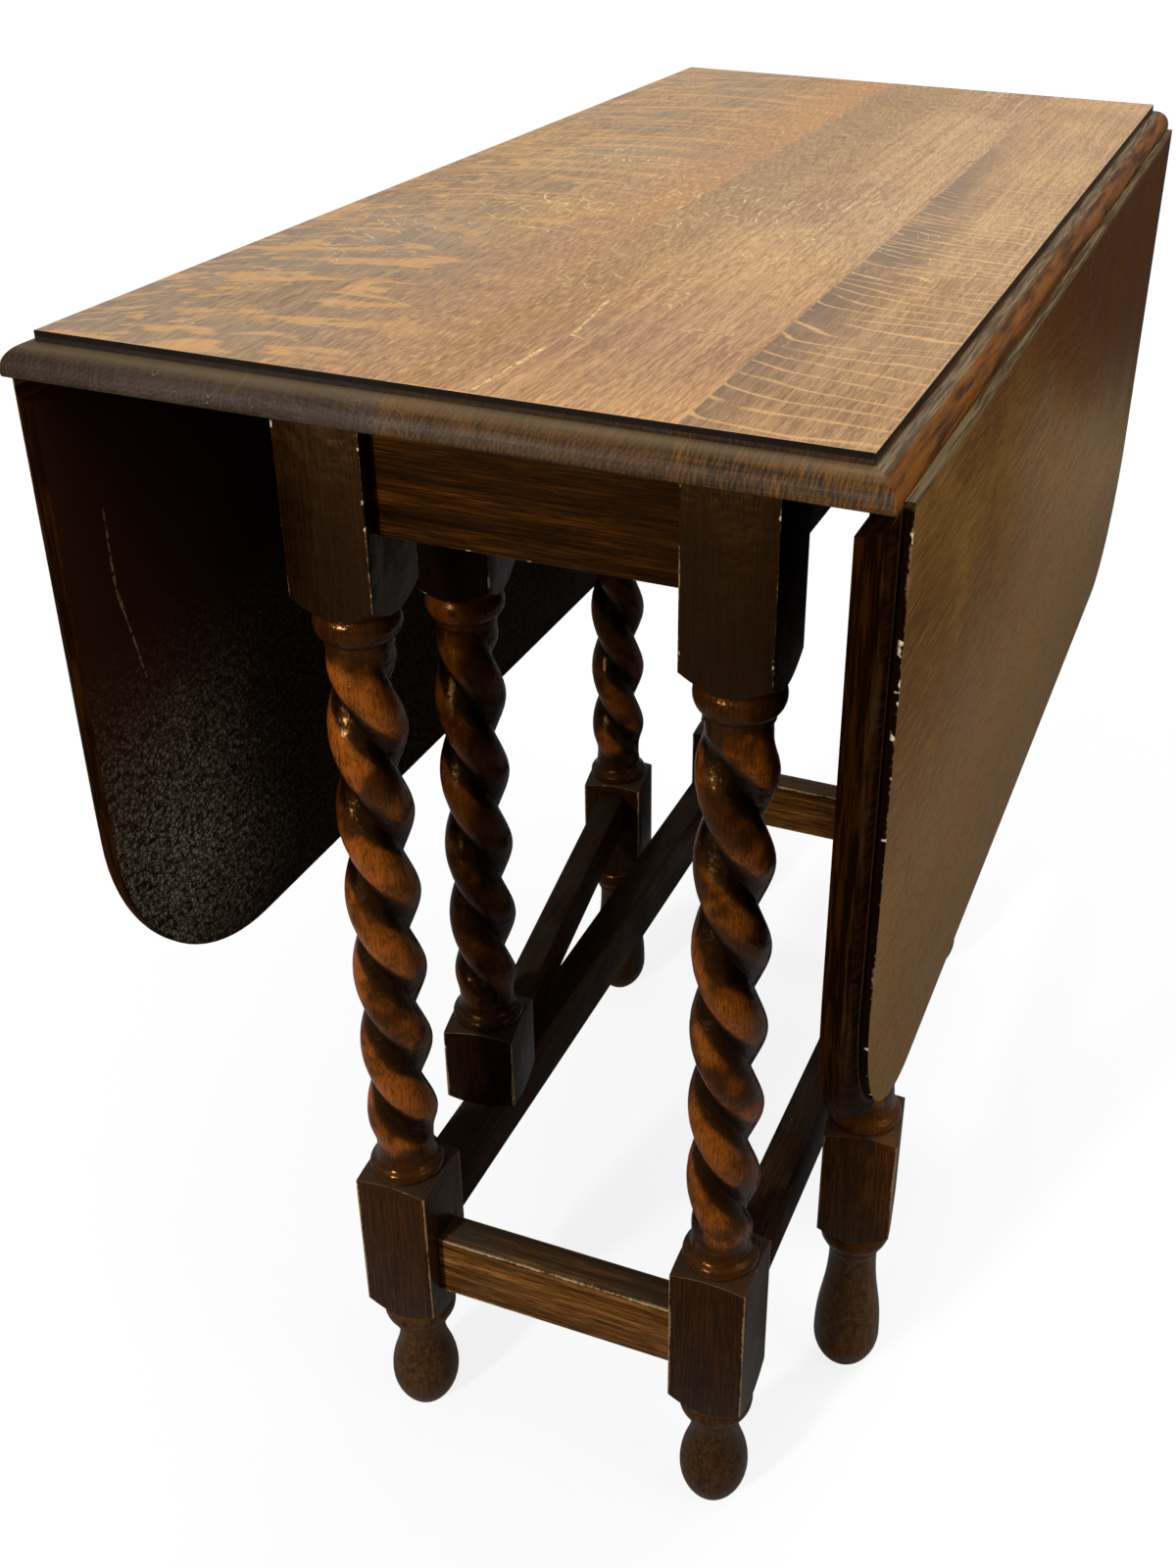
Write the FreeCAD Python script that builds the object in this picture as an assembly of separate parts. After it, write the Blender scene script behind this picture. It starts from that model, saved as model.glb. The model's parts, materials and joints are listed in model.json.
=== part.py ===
import FreeCAD, Part
import math
import os

# A gateleg table in oak: a fixed top on four barley-twist legs, a leaf hinged to each long side
# by a rule joint, and under each leaf a gate that turns on a post to carry the raised leaf.
# Lengths are in millimetres, angles in degrees. The origin is on the floor under the middle of
# the top, +Z is up, +Y runs along the top towards the back and +X to the right.

V = FreeCAD.Vector
UP = V(0, 0, 1)

# Top
table_height = 740.0
top_length = 803.0
top_width = 387.0
top_thickness = 19.0
left_board_width = 178.5
right_board_width = 87.0

# Edge moulding and rule joint: a quarter round below a small step, all round
moulding_radius = 11.5
moulding_step = 4.5
end_rounding = 2.5
joint_gap = 0.4

# Leaves
leaf_width = 348.5
leaf_corner_radius = 110.0
leaf_inner_board_width = 190.0

# Legs
leg_size = 46.0
side_overhang = 69.0
end_overhang = 88.5
foot_height = 103.0
lower_block_length = 100.5
upper_block_length = 128.3
foot_radius = 21.5
foot_neck_radius = 14.4
foot_base_radius = 11.0
foot_belly_share = 0.26

# Turned ends of the square blocks
undercut_height = 10.5
undercut_radius = 21.0
cup_radius = 22.7
cup_height = 16.0
cup_end_radius = 17.2
cup_belly_share = 0.34
ring_radius = 17.9
ring_height = 2.6
neck_drop = 8.0
shoulder_rise = 3.2
collar_foot_radius = 21.0
collar_radius = 22.4
collar_height = 8.0
collar_top_radius = 20.3
collar_groove_radius = 18.6
collar_slope_height = 1.6
cove_height = 7.6

# Twist: two strands round each other
twist_radius = 20.8
strand_radius = 14.2
shaft_radius = 17.2
twist_pitch = 105.2
fade_length = 24.0
sections_per_turn = 16
leg_phases = {"front_left": 168, "front_right": 42, "back_left": 42, "back_right": 168}
gate_phase = 26

# Aprons, stretchers and their tenons
apron_height = 91.0
apron_thickness = 20.0
end_apron_setback = 9.0
stretcher_height = 44.0
stretcher_thickness = 22.0
end_stretcher_low = 116.0
side_stretcher_low = 131.0
tenon_length = 18.0
tenon_thickness = 8.0
tenon_inset = 6.0

# Gates
post_inset = 112.0
gate_leg_inset = 126.5
gate_leaf_gap = 2.1
gate_foot_height = 137.0
gate_block_length = 79.0
gate_foot_radius = 22.2
gate_foot_neck_radius = 15.6
gate_foot_belly_share = 0.18
gate_upper_block_length = 76.0
gate_top_gap = 2.0
post_block_rise = 6.0
post_block_length = 53.0
post_foot_radius = 20.0
rail_thickness = 19.0
top_rail_height = 42.0
bottom_rail_height = 34.0
rail_gap = 1.2
rail_tenon_length = 15.0
pivot_radius = 6.5
pivot_length = 20.0
pivot_clearance = 0.25
running_gap = 0.3

# Rule joint hinges
hinge_inset = 151.5
hinge_length = 38.0
fixed_flap_length = 32.0
leaf_flap_length = 45.0
flap_thickness = 1.8
knuckle_radius = 2.8
hinge_pin_radius = 1.3
hinge_clearance = 0.3
hinge_pin_clearance = 0.15
hinge_screw_shares = ((0.5, -0.3), (0.5, 0.3), (0.85, 0))

# Screws and glue blocks
hinge_screw_length = 13.0
hinge_screw_radius = 1.7
hinge_screw_head_radius = 3.3
top_screw_length = 36.0
top_screw_radius = 2.2
top_screw_head_radius = 4.4
screw_slot_share = 0.22
screw_tip_share = 0.15
glue_block_size = 24.0
glue_block_length = 70.0
glue_block_inset = 190.0

# Overrun of a cut past the face it starts from
overrun = 5.0

# Heights and half sizes that follow from the sizes above
underside = table_height - top_thickness
field_edge = table_height - moulding_step
pin_height = field_edge - moulding_radius
pin_depth = pin_height - underside
half_width = top_width / 2
half_length = top_length / 2
joint_x = half_width - moulding_radius
leg_x = half_width - side_overhang - leg_size / 2
leg_y = half_length - end_overhang - leg_size / 2
corner_radius = leg_size / math.sqrt(2)
apron_low = underside - apron_height
side_stretcher_top = side_stretcher_low + stretcher_height
hinge_y = half_length - hinge_inset
glue_block_y = leg_y - glue_block_inset

# Gate at rest: it stands open until its leg's outer corner is gate_leaf_gap from the hanging leaf
gate_post_y = leg_y - post_inset
gate_span = 2 * leg_y - post_inset - gate_leg_inset
gate_reach = math.hypot(gate_span + leg_size / 2, leg_size / 2)
gate_room = joint_x - pin_depth - gate_leaf_gap - leg_x
gate_corner_angle = math.atan2(leg_size / 2, gate_span + leg_size / 2)
gate_rest_angle = math.degrees(math.asin(gate_room / gate_reach) - gate_corner_angle)


def box(x0, x1, y0, y1, z0, z1):
    return Part.makeBox(x1 - x0, y1 - y0, z1 - z0, V(x0, y0, z0))


def outline(start, steps, place):
    """Closed wire through points (a, b); a step that is a pair of points is an arc through
    the first to the second. place turns (a, b) into a point in space."""
    edges = []
    here = start
    for step in steps + [start]:
        if isinstance(step[0], tuple):
            middle, end = step
            edges.append(Part.Arc(place(here), place(middle), place(end)).toShape())
        else:
            end = step
            if math.dist(here, end) > 0:
                edges.append(Part.LineSegment(place(here), place(end)).toShape())
        here = end
    return Part.Wire(edges)


def turned(start, steps):
    """Solid turned about the Z axis from a path of (radius, height) points."""
    last = steps[-1]
    if isinstance(last[0], tuple):
        last = last[1]
    path = [start] + steps + [(0, last[1])]
    wire = outline((0, start[1]), path, lambda point: V(point[0], 0, point[1]))
    return Part.Face(wire).revolve(V(0, 0, 0), UP, 360)


def upright_arc(start, end):
    """Step to end along the arc that leaves start upright."""
    across = end[0] - start[0]
    along = end[1] - start[1]
    radius = (across ** 2 + along ** 2) / (2 * across)
    half = math.atan2(abs(along), abs(radius) - abs(across)) / 2
    rise = math.copysign(abs(radius) * math.sin(half), along)
    middle = (start[0] + radius * (1 - math.cos(half)), start[1] + rise)
    return (middle, end)


def arc_to_upright(start, end):
    """Step to end along the arc that arrives there upright."""
    return (upright_arc(end, start)[0], end)


def swelling(start, end):
    """Two steps along an S from start to end, upright at both."""
    middle = ((start[0] + end[0]) / 2, (start[1] + end[1]) / 2)
    return [upright_arc(start, middle), arc_to_upright(middle, end)]


def fuse(shapes):
    return shapes[0].multiFuse(shapes[1:]).removeSplitter()


def cone_height(radius, end_radius, height):
    """Height at which the cone from the block's corners to end_radius has this radius."""
    return height * (corner_radius - radius) / (corner_radius - end_radius)


def block(low, high, low_end, high_end):
    """Square block with corners from low to high. Each end is turned down in a cone, given as
    (radius, height of the cone), or is left square where it is None."""
    wide = corner_radius + overrun
    path = [(wide, high + overrun)]
    start = (wide, low - overrun)
    bottom = low
    top = high
    if low_end:
        radius, height = low_end
        bottom = low - height
        start = (radius, bottom)
        path.insert(0, (wide, low - cone_height(wide, radius, height)))
    if high_end:
        radius, height = high_end
        top = high + height
        path[-1] = (wide, high + cone_height(wide, radius, height))
        path.append((radius, top))
    square = box(-leg_size / 2, leg_size / 2, -leg_size / 2, leg_size / 2, bottom, top)
    return square.common(turned(start, path))


def cup(top, extra):
    """Rounded cup and thin ring below the block whose lower corners are at top, then the steps
    in extra, which lead down from the ring."""
    start = top - undercut_height
    end = start - cup_height
    belly = start - cup_height * cup_belly_share
    steps = [
        ((cup_radius, belly), (cup_end_radius, end)),
        (ring_radius, end),
        (ring_radius, end - ring_height),
    ]
    return turned((undercut_radius, start), steps + extra)


def collar(low):
    """Bead, groove and cove above the block whose upper corners are at low."""
    base = low + shoulder_rise
    top = base + collar_height
    groove = (collar_groove_radius, top + collar_slope_height)
    steps = [
        ((collar_radius, base + collar_height / 2), (collar_top_radius, top)),
        groove,
        arc_to_upright(groove, (shaft_radius, groove[1] + cove_height)),
    ]
    return turned((collar_foot_radius, base), steps)


def twist_section(z, low, high, phase):
    """Section of the twist at height z: two round strands side by side, fading to one circle
    at the ends, as four arcs from groove to ridge."""
    fade = 1.0
    for depth in (z - low, high - z):
        share = min(depth / fade_length, 1)
        fade = fade * share ** 2 * (3 - 2 * share)
    offset = (twist_radius - strand_radius) * fade
    radius = shaft_radius + (strand_radius - shaft_radius) * fade
    groove = math.sqrt(radius ** 2 - offset ** 2)
    half = math.atan2(groove, -offset) / 2
    turn = FreeCAD.Rotation(UP, phase - 360 * z / twist_pitch)
    edges = []
    for side in (1, -1):
        ridge = V(side * (offset + radius), 0, z)
        before, after = V(0, -side * groove, z), V(0, side * groove, z)
        for start, end, sign in ((before, ridge, -1), (ridge, after, 1)):
            swing = sign * side * radius * math.sin(half)
            middle = V(side * (offset + radius * math.cos(half)), swing, z)
            points = [turn.multVec(point) for point in (start, middle, end)]
            edges.append(Part.Arc(*points).toShape())
    return Part.Wire(edges)


def twist(low, high, phase):
    count = math.ceil((high - low) / twist_pitch * sections_per_turn)
    heights = [low + (high - low) * i / count for i in range(count + 1)]
    return Part.makeLoft([twist_section(z, low, high, phase) for z in heights], True)


def shaft(low, high, phase):
    """Collar, twist, ring and cup between a block whose top corners are at low and one whose
    bottom corners are at high."""
    start = low + shoulder_rise + collar_height + collar_slope_height + cove_height
    end = high - undercut_height - cup_height - ring_height
    return [collar(low), twist(start, end, phase), cup(high, [(shaft_radius, end)])]


def foot(block_low, radius, neck_radius, belly_share):
    """Pear foot on the floor, with its ring and cup up to the block."""
    ring_low = block_low - undercut_height - cup_height - ring_height
    ring = (cup_end_radius, ring_low)
    neck = (neck_radius, ring_low - neck_drop)
    belly = (radius, block_low * belly_share)
    steps = [ring, arc_to_upright(ring, neck)] + swelling(neck, belly)
    steps.append(upright_arc(belly, (foot_base_radius, 0)))
    return cup(block_low, steps)


def lower_block(low, high):
    return block(low, high, (undercut_radius, undercut_height), (collar_foot_radius, shoulder_rise))


def upper_block(low, high):
    return block(low, high, (undercut_radius, undercut_height), None)


def fixed_leg(phase):
    low = foot_height
    high = low + lower_block_length
    upper_low = underside - upper_block_length
    pieces = [foot(low, foot_radius, foot_neck_radius, foot_belly_share), lower_block(low, high)]
    pieces += shaft(high, upper_low, phase) + [upper_block(upper_low, underside)]
    return fuse(pieces)


def bar(length, thickness, low, high, tenon):
    """Bar along X, centred on the origin, with a tenon at each end."""
    reach = length / 2
    body = box(-reach, reach, -thickness / 2, thickness / 2, low, high)
    half = tenon_thickness / 2
    tongue = box(-reach - tenon, reach + tenon, -half, half, low + tenon_inset, high - tenon_inset)
    return fuse([body, tongue])


def moved(shape, x, y, z=0, angle=0):
    """Copy of a shape, turned by angle about the Z axis, then moved."""
    placement = FreeCAD.Placement(V(x, y, z), FreeCAD.Rotation(UP, angle))
    return shape.transformed(placement.toMatrix())


def screw(length, radius, head_radius):
    """Countersunk screw with its head at the origin and its point up."""
    head = head_radius - radius
    tip = length * (1 - screw_tip_share)
    body = turned((head_radius, 0), [(radius, head), (radius, tip), (0, length)])
    half = head_radius * screw_slot_share / 2
    slot = box(-head_radius, head_radius, -half, half, -overrun, head / 2)
    return body.cut(slot)


def edge_steps(half, rounding):
    """Half section of a moulded board edge from the underside to the top, at distance half."""
    field = half - moulding_radius
    bend = moulding_radius * math.sqrt(0.5)
    steps = []
    if rounding:
        corner = rounding * (1 - math.sqrt(0.5))
        low = ((half - corner, underside + corner), (half, underside + rounding))
        steps = [(half - rounding, underside), low]
    else:
        steps = [(half, underside)]
    steps.append((half, pin_height))
    steps.append(((field + bend, pin_height + bend), (field, field_edge)))
    steps.append((field, table_height))
    return steps


def moulded_section(half, rounding, place):
    """Closed section of a board that is moulded on both edges."""
    right = edge_steps(half, rounding)
    ends = [step[1] if isinstance(step[0], tuple) else step for step in right]
    left = [(-half + moulding_radius, table_height)]
    for index in range(len(right) - 1, 0, -1):
        target = (-ends[index - 1][0], ends[index - 1][1])
        step = right[index]
        if isinstance(step[0], tuple):
            left.append(((-step[0][0], step[0][1]), target))
        else:
            left.append(target)
    return Part.Face(outline(right[0], right[1:] + left, place))


def top_blank():
    across = moulded_section(half_width, 0, lambda p: V(p[0], -half_length, p[1]))
    along = moulded_section(half_length, end_rounding, lambda p: V(-half_width, p[0], p[1]))
    return across.extrude(V(0, top_length, 0)).common(along.extrude(V(top_width, 0, 0)))


def leaf_plan(inset, low, high):
    """Plate in the leaf's plan, drawn in by inset on its three free edges. Leaf shapes lie as
    if raised, with the hinge pin's axis on the Y axis."""
    edge = leaf_width - inset
    half = half_length - inset
    radius = leaf_corner_radius - inset
    corner = radius * (1 - math.sqrt(0.5))
    steps = [
        (edge - radius, -half),
        ((edge - corner, -half + corner), (edge, -half + radius)),
        (edge, half - radius),
        ((edge - corner, half - corner), (edge - radius, half)),
        (joint_gap, half),
    ]
    wire = outline((joint_gap, -half), steps, lambda p: V(p[0], p[1], low))
    return Part.Face(wire).extrude(V(0, 0, high - low))


def leaf_blank():
    slab = leaf_plan(0, -pin_depth, moulding_radius)
    rim = []
    for edge in slab.Edges:
        middle = edge.valueAt((edge.FirstParameter + edge.LastParameter) / 2)
        level = edge.BoundBox.ZMin > moulding_radius / 2
        if level and middle.x > moulding_radius:
            rim.append(edge)
    slab = slab.makeFillet(moulding_radius, rim)
    leaf = fuse([slab, leaf_plan(moulding_radius, 0, moulding_radius + moulding_step)])
    cove = moulding_radius + joint_gap
    start = V(0, -half_length - overrun, 0)
    hollow = Part.makeCylinder(cove, top_length + 2 * overrun, start, V(0, 1, 0))
    below = box(0, cove, -half_length - overrun, half_length + overrun, -pin_depth - overrun, 0)
    return leaf.cut(hollow.fuse(below))


def hinge_rod(radius, y0, y1):
    return Part.makeCylinder(radius, y1 - y0, V(0, y0, 0), V(0, 1, 0))


def hinge_parts():
    """Fixed flap, leaf flap, pin and the two flaps' screws of one hinge, as if raised, with
    the pin's axis on the Y axis."""
    half = hinge_length / 2
    third = hinge_length / 6
    low = -pin_depth
    high = low + flap_thickness
    near = knuckle_radius + hinge_clearance
    pin = hinge_rod(hinge_pin_radius, -half, half)
    fixed = [box(-fixed_flap_length, -near, -half, half, low, high)]
    for y0, y1 in ((-half, -third), (third, half)):
        fixed += [box(-near, 0, y0, y1, low, high), hinge_rod(knuckle_radius, y0, y1)]
    inner = third - hinge_clearance
    leaf = [box(near, leaf_flap_length, -half, half, low, high)]
    leaf += [box(0, near, -inner, inner, low, high), hinge_rod(knuckle_radius, -inner, inner)]
    bore = hinge_rod(hinge_pin_radius + hinge_pin_clearance, -half, half)
    fixed_screws = []
    leaf_screws = []
    one = screw(hinge_screw_length, hinge_screw_radius, hinge_screw_head_radius)
    for along, across in hinge_screw_shares:
        y = across * hinge_length
        fixed_screws.append(moved(one, -along * fixed_flap_length, y, low))
        leaf_screws.append(moved(one, along * leaf_flap_length, y, low))
    fixed_flap = fuse(fixed).cut(pin).cut(Part.makeCompound(fixed_screws))
    leaf_flap = fuse(leaf).cut(bore).cut(Part.makeCompound(leaf_screws))
    return fixed_flap, leaf_flap, pin, fixed_screws, leaf_screws


def hinge_cuts():
    """Recess, knuckle groove and swing slot for one hinge in the fixed board, and its recess
    in the leaf."""
    half = hinge_length / 2
    wide = half + hinge_clearance
    low = -pin_depth - overrun
    high = flap_thickness - pin_depth
    recess = box(-fixed_flap_length, 0, -half, half, low, high)
    groove = hinge_rod(knuckle_radius + hinge_clearance, -wide, wide)
    reach = moulding_radius + overrun
    slot = box(-pin_depth - hinge_clearance, reach, -wide, wide, low, high + hinge_clearance)
    throat = box(-pin_depth - hinge_clearance, 0, -wide, wide, low, 0)
    return fuse([recess, groove, slot, throat]), box(0, leaf_flap_length, -half, half, low, high)


def at_side(shape, side):
    """Shape made for the right side, as it lies on this side of the table."""
    if side == "right":
        return shape
    return moved(shape, 0, 0, angle=180)


def at_pin(shape, y, hanging):
    """Shape made about the pin's axis, at the right-hand rule joint and at y."""
    turn = FreeCAD.Rotation(V(0, 1, 0), 90 if hanging else 0)
    placement = FreeCAD.Placement(V(joint_x, 0, pin_height), turn)
    return moved(shape, 0, y).transformed(placement.toMatrix())


def gate_post(phase):
    """Post that the gate turns on, with its two pivots, standing on the side stretcher."""
    start = side_stretcher_top + running_gap
    low = side_stretcher_top + post_block_rise
    high = low + post_block_length
    end = apron_low - running_gap
    upper_low = apron_low - gate_upper_block_length
    foot_end = (post_foot_radius, low - start)
    pieces = [block(low, high, foot_end, (collar_foot_radius, shoulder_rise))]
    pieces += shaft(high, upper_low, phase) + [upper_block(upper_low, end)]
    pieces.append(Part.makeCylinder(pivot_radius, pivot_length, V(0, 0, start - pivot_length)))
    pieces.append(Part.makeCylinder(pivot_radius, pivot_length, V(0, 0, end)))
    return fuse(pieces)


def gate_leg(phase):
    low = gate_foot_height
    high = low + gate_block_length
    upper_low = apron_low - gate_upper_block_length
    pieces = [foot(low, gate_foot_radius, gate_foot_neck_radius, gate_foot_belly_share)]
    pieces += [lower_block(low, high)] + shaft(high, upper_low, phase)
    pieces.append(upper_block(upper_low, underside - gate_top_gap))
    return fuse(pieces)


def gate_parts():
    """The right gate's four pieces, turned to its rest angle."""
    length = gate_span - leg_size
    low = side_stretcher_top + rail_gap
    high = apron_low - rail_gap
    spans = {"bottom_rail": (low, low + bottom_rail_height), "top_rail": (high - top_rail_height, high)}
    rails = {}
    for name, (z0, z1) in spans.items():
        rail = bar(length, rail_thickness, z0, z1, rail_tenon_length)
        rails[name] = moved(rail, 0, -gate_span / 2, angle=90)
    tenons = Part.makeCompound(list(rails.values()))
    parts = dict(rails)
    parts["post"] = gate_post(gate_phase).cut(tenons)
    parts["leg"] = moved(gate_leg(gate_phase), 0, -gate_span).cut(tenons)
    return {name: moved(part, leg_x, gate_post_y, angle=gate_rest_angle) for name, part in parts.items()}


def frame_bars():
    """Aprons and stretchers by name."""
    across = 2 * leg_x - leg_size
    along = 2 * leg_y - leg_size
    end_apron_y = leg_y + leg_size / 2 - end_apron_setback - apron_thickness / 2
    end_apron = bar(across, apron_thickness, apron_low, underside, tenon_length)
    side_apron = bar(along, apron_thickness, apron_low, underside, tenon_length)
    end_top = end_stretcher_low + stretcher_height
    end_bar = bar(across, stretcher_thickness, end_stretcher_low, end_top, tenon_length)
    side_bar = bar(along, stretcher_thickness, side_stretcher_low, side_stretcher_top, tenon_length)
    bore_radius = pivot_radius + pivot_clearance
    depth = pivot_length + running_gap
    top_bore = Part.makeCylinder(bore_radius, depth, V(gate_post_y, 0, apron_low))
    low_bore = Part.makeCylinder(bore_radius, depth, V(gate_post_y, 0, side_stretcher_top - depth))
    side_apron = moved(side_apron.cut(top_bore), leg_x, 0, angle=90)
    side_bar = moved(side_bar.cut(low_bore), leg_x, 0, angle=90)
    bars = {
        "apron_front": moved(end_apron, 0, -end_apron_y),
        "apron_back": moved(end_apron, 0, end_apron_y),
        "stretcher_front": moved(end_bar, 0, -leg_y),
        "stretcher_back": moved(end_bar, 0, leg_y),
    }
    for side in ("left", "right"):
        bars["apron_" + side] = at_side(side_apron, side)
        bars["stretcher_" + side] = at_side(side_bar, side)
    return bars


def glue_blocks_and_screws():
    """Blocks that hold the aprons to the top, by name, and the screws through them."""
    low = underside - glue_block_size
    half = glue_block_length / 2
    side_inner = leg_x - apron_thickness / 2
    end_inner = leg_y + leg_size / 2 - end_apron_setback - apron_thickness
    one = screw(top_screw_length, top_screw_radius, top_screw_head_radius)
    screws = []
    blocks = {}
    for name, sign in (("left", -1), ("right", 1)):
        pair = []
        for y in (-glue_block_y, glue_block_y):
            edges = sorted((sign * side_inner, sign * (side_inner - glue_block_size)))
            here = moved(one, sum(edges) / 2, y, low)
            pair.append(box(edges[0], edges[1], y - half, y + half, low, underside).cut(here))
            screws.append(here)
        blocks["glue_blocks_" + name] = pair
    for name, sign in (("front", -1), ("back", 1)):
        edges = sorted((sign * end_inner, sign * (end_inner - glue_block_size)))
        here = moved(one, 0, sum(edges) / 2, low)
        blocks["glue_blocks_" + name] = [box(-half, half, edges[0], edges[1], low, underside).cut(here)]
        screws.append(here)
    return blocks, screws


def build():
    nodes = frame_bars()
    tenons = Part.makeCompound(list(nodes.values()))
    for name, phase in leg_phases.items():
        x = leg_x if name.endswith("right") else -leg_x
        y = leg_y if name.startswith("back") else -leg_y
        nodes["leg_" + name] = moved(fixed_leg(phase), x, y).cut(tenons)
    for name, part in gate_parts().items():
        for side in ("left", "right"):
            nodes["gate_" + side + "_" + name] = at_side(part, side)

    blocks, top_screws = glue_blocks_and_screws()
    for name, pieces in blocks.items():
        nodes[name] = Part.makeCompound(pieces)

    fixed_flap, leaf_flap, pin, fixed_screws, leaf_screws = hinge_parts()
    fixed_cut, leaf_cut = hinge_cuts()
    top = top_blank().cut(Part.makeCompound(top_screws))
    board_screws = []
    leaf = leaf_blank()
    leaf_seam = leaf_inner_board_width
    for side in ("left", "right"):
        hanging_screws = []
        hung_leaf = at_side(at_pin(leaf, 0, True), side)
        for end, sign in (("front", -1), ("back", 1)):
            y = sign * hinge_y if side == "right" else -sign * hinge_y
            stem = "hinge_" + side + "_" + end
            nodes[stem + "_fixed_flap"] = at_side(at_pin(fixed_flap, y, False), side)
            nodes[stem + "_pin"] = at_side(at_pin(pin, y, False), side)
            nodes[stem + "_leaf_flap"] = at_side(at_pin(leaf_flap, y, True), side)
            top = top.cut(at_side(at_pin(fixed_cut, y, False), side))
            hung_leaf = hung_leaf.cut(at_side(at_pin(leaf_cut, y, True), side))
            board_screws += [at_side(at_pin(one, y, False), side) for one in fixed_screws]
            hanging_screws += [at_side(at_pin(one, y, True), side) for one in leaf_screws]
        hung_leaf = hung_leaf.cut(Part.makeCompound(hanging_screws))
        nodes["hinge_screws_" + side + "_leaf"] = Part.makeCompound(hanging_screws)
        seam = pin_height - leaf_seam
        reach = top_width + overrun
        above = box(-reach, reach, -top_length, top_length, seam, table_height)
        below = box(-reach, reach, -top_length, top_length, seam - leaf_width, seam)
        nodes["leaf_" + side + "_inner_board"] = hung_leaf.common(above)
        nodes["leaf_" + side + "_outer_board"] = hung_leaf.common(below)
    nodes["hinge_screws_top"] = Part.makeCompound(board_screws)
    nodes["top_screws"] = Part.makeCompound(top_screws)

    top = top.cut(Part.makeCompound(board_screws))
    seams = [-half_width, left_board_width - half_width, half_width - right_board_width, half_width]
    for name, x0, x1 in zip(("left", "middle", "right"), seams, seams[1:]):
        strip = box(x0, x1, -half_length, half_length, underside, table_height)
        nodes["top_board_" + name] = top.common(strip)
    return nodes


os.makedirs("parts", exist_ok=True)
for name, shape in build().items():
    shape.exportStep("parts/" + name + ".step")
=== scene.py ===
import bpy
import json
import math
from mathutils import Matrix, Vector

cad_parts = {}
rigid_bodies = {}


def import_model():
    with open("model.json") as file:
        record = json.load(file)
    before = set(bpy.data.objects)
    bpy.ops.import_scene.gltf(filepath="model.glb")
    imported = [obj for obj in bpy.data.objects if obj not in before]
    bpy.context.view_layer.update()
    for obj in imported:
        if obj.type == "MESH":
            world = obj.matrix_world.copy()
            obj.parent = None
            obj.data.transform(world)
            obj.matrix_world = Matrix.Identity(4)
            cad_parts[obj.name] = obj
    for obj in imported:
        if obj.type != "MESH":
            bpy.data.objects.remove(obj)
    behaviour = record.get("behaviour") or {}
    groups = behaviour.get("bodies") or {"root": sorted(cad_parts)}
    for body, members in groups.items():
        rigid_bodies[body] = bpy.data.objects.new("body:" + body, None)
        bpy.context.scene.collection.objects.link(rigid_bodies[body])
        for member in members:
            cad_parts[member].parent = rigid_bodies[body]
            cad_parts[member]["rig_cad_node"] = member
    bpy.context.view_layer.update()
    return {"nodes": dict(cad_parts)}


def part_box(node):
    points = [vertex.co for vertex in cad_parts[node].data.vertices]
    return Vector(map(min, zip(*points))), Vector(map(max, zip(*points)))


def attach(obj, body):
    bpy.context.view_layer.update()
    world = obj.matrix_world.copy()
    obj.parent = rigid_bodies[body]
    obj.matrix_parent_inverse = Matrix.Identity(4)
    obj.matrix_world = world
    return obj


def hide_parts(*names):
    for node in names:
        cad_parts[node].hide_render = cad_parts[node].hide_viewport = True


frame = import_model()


# Fixed legs
# Four oak legs, each turned from one square length: pear foot, block, collar, twist carved as
# two strands, cup and upper block. They are stained, polished, dark in the hollows and rubbed
# to amber on the strands, with the arrises of the blocks worn.
leg_half = 0.023
groove_radius, strand_top_radius = 0.0125, 0.0205
turned_dark, turned_brown = (0.007, 0.0020, 0.0003), (0.065, 0.017, 0.002)
turned_amber = (0.36, 0.092, 0.008)
foot_brown, foot_dark, collar_brown = (0.100, 0.045, 0.014), (0.038, 0.017, 0.006), (0.040, 0.011, 0.001)
foot_top = 0.112
block_brown, block_light = (0.010, 0.0025, 0.0002), (0.042, 0.0115, 0.0011)
polish_tint = (1.0, 0.44, 0.13, 1.0)
worn_oak, raw_chip = (0.30, 0.18, 0.085), (0.66, 0.52, 0.34)
twist_run, gate_twist_run, post_twist_run = (0.2239, 0.5636), (0.2364, 0.6139), (0.2544, 0.6139)
dust_grey = (0.052, 0.041, 0.028)
sharp_angle, flat_angle = math.radians(35), math.radians(0.4)
weld_distance, touch = 0.000002, 0.0001
leg_rounding = 0.0007


def add(tree, kind, inputs=None, **settings):
    """Node of this kind, with its settings and with each input linked or set."""
    made = tree.nodes.new("ShaderNode" + kind)
    for key, value in settings.items():
        setattr(made, key, value)
    for key, value in (inputs or {}).items():
        if isinstance(value, bpy.types.NodeSocket):
            tree.links.new(value, made.inputs[key])
        else:
            made.inputs[key].default_value = value
    return made


def calc(tree, operation, first, second=0.0, clamp=False):
    return add(tree, "Math", {0: first, 1: second}, operation=operation, use_clamp=clamp).outputs[0]


def times(tree, first, second):
    return calc(tree, "MULTIPLY", first, second)


def plus(tree, first, second, clamp=False):
    return calc(tree, "ADD", first, second, clamp)


def minus(tree, first, second):
    return calc(tree, "SUBTRACT", first, second)


def magnitude(tree, value):
    return calc(tree, "ABSOLUTE", value)


def vector_calc(tree, operation, first, second=(0, 0, 0), out=0):
    return add(tree, "VectorMath", {0: first, 1: second}, operation=operation).outputs[out]


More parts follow.
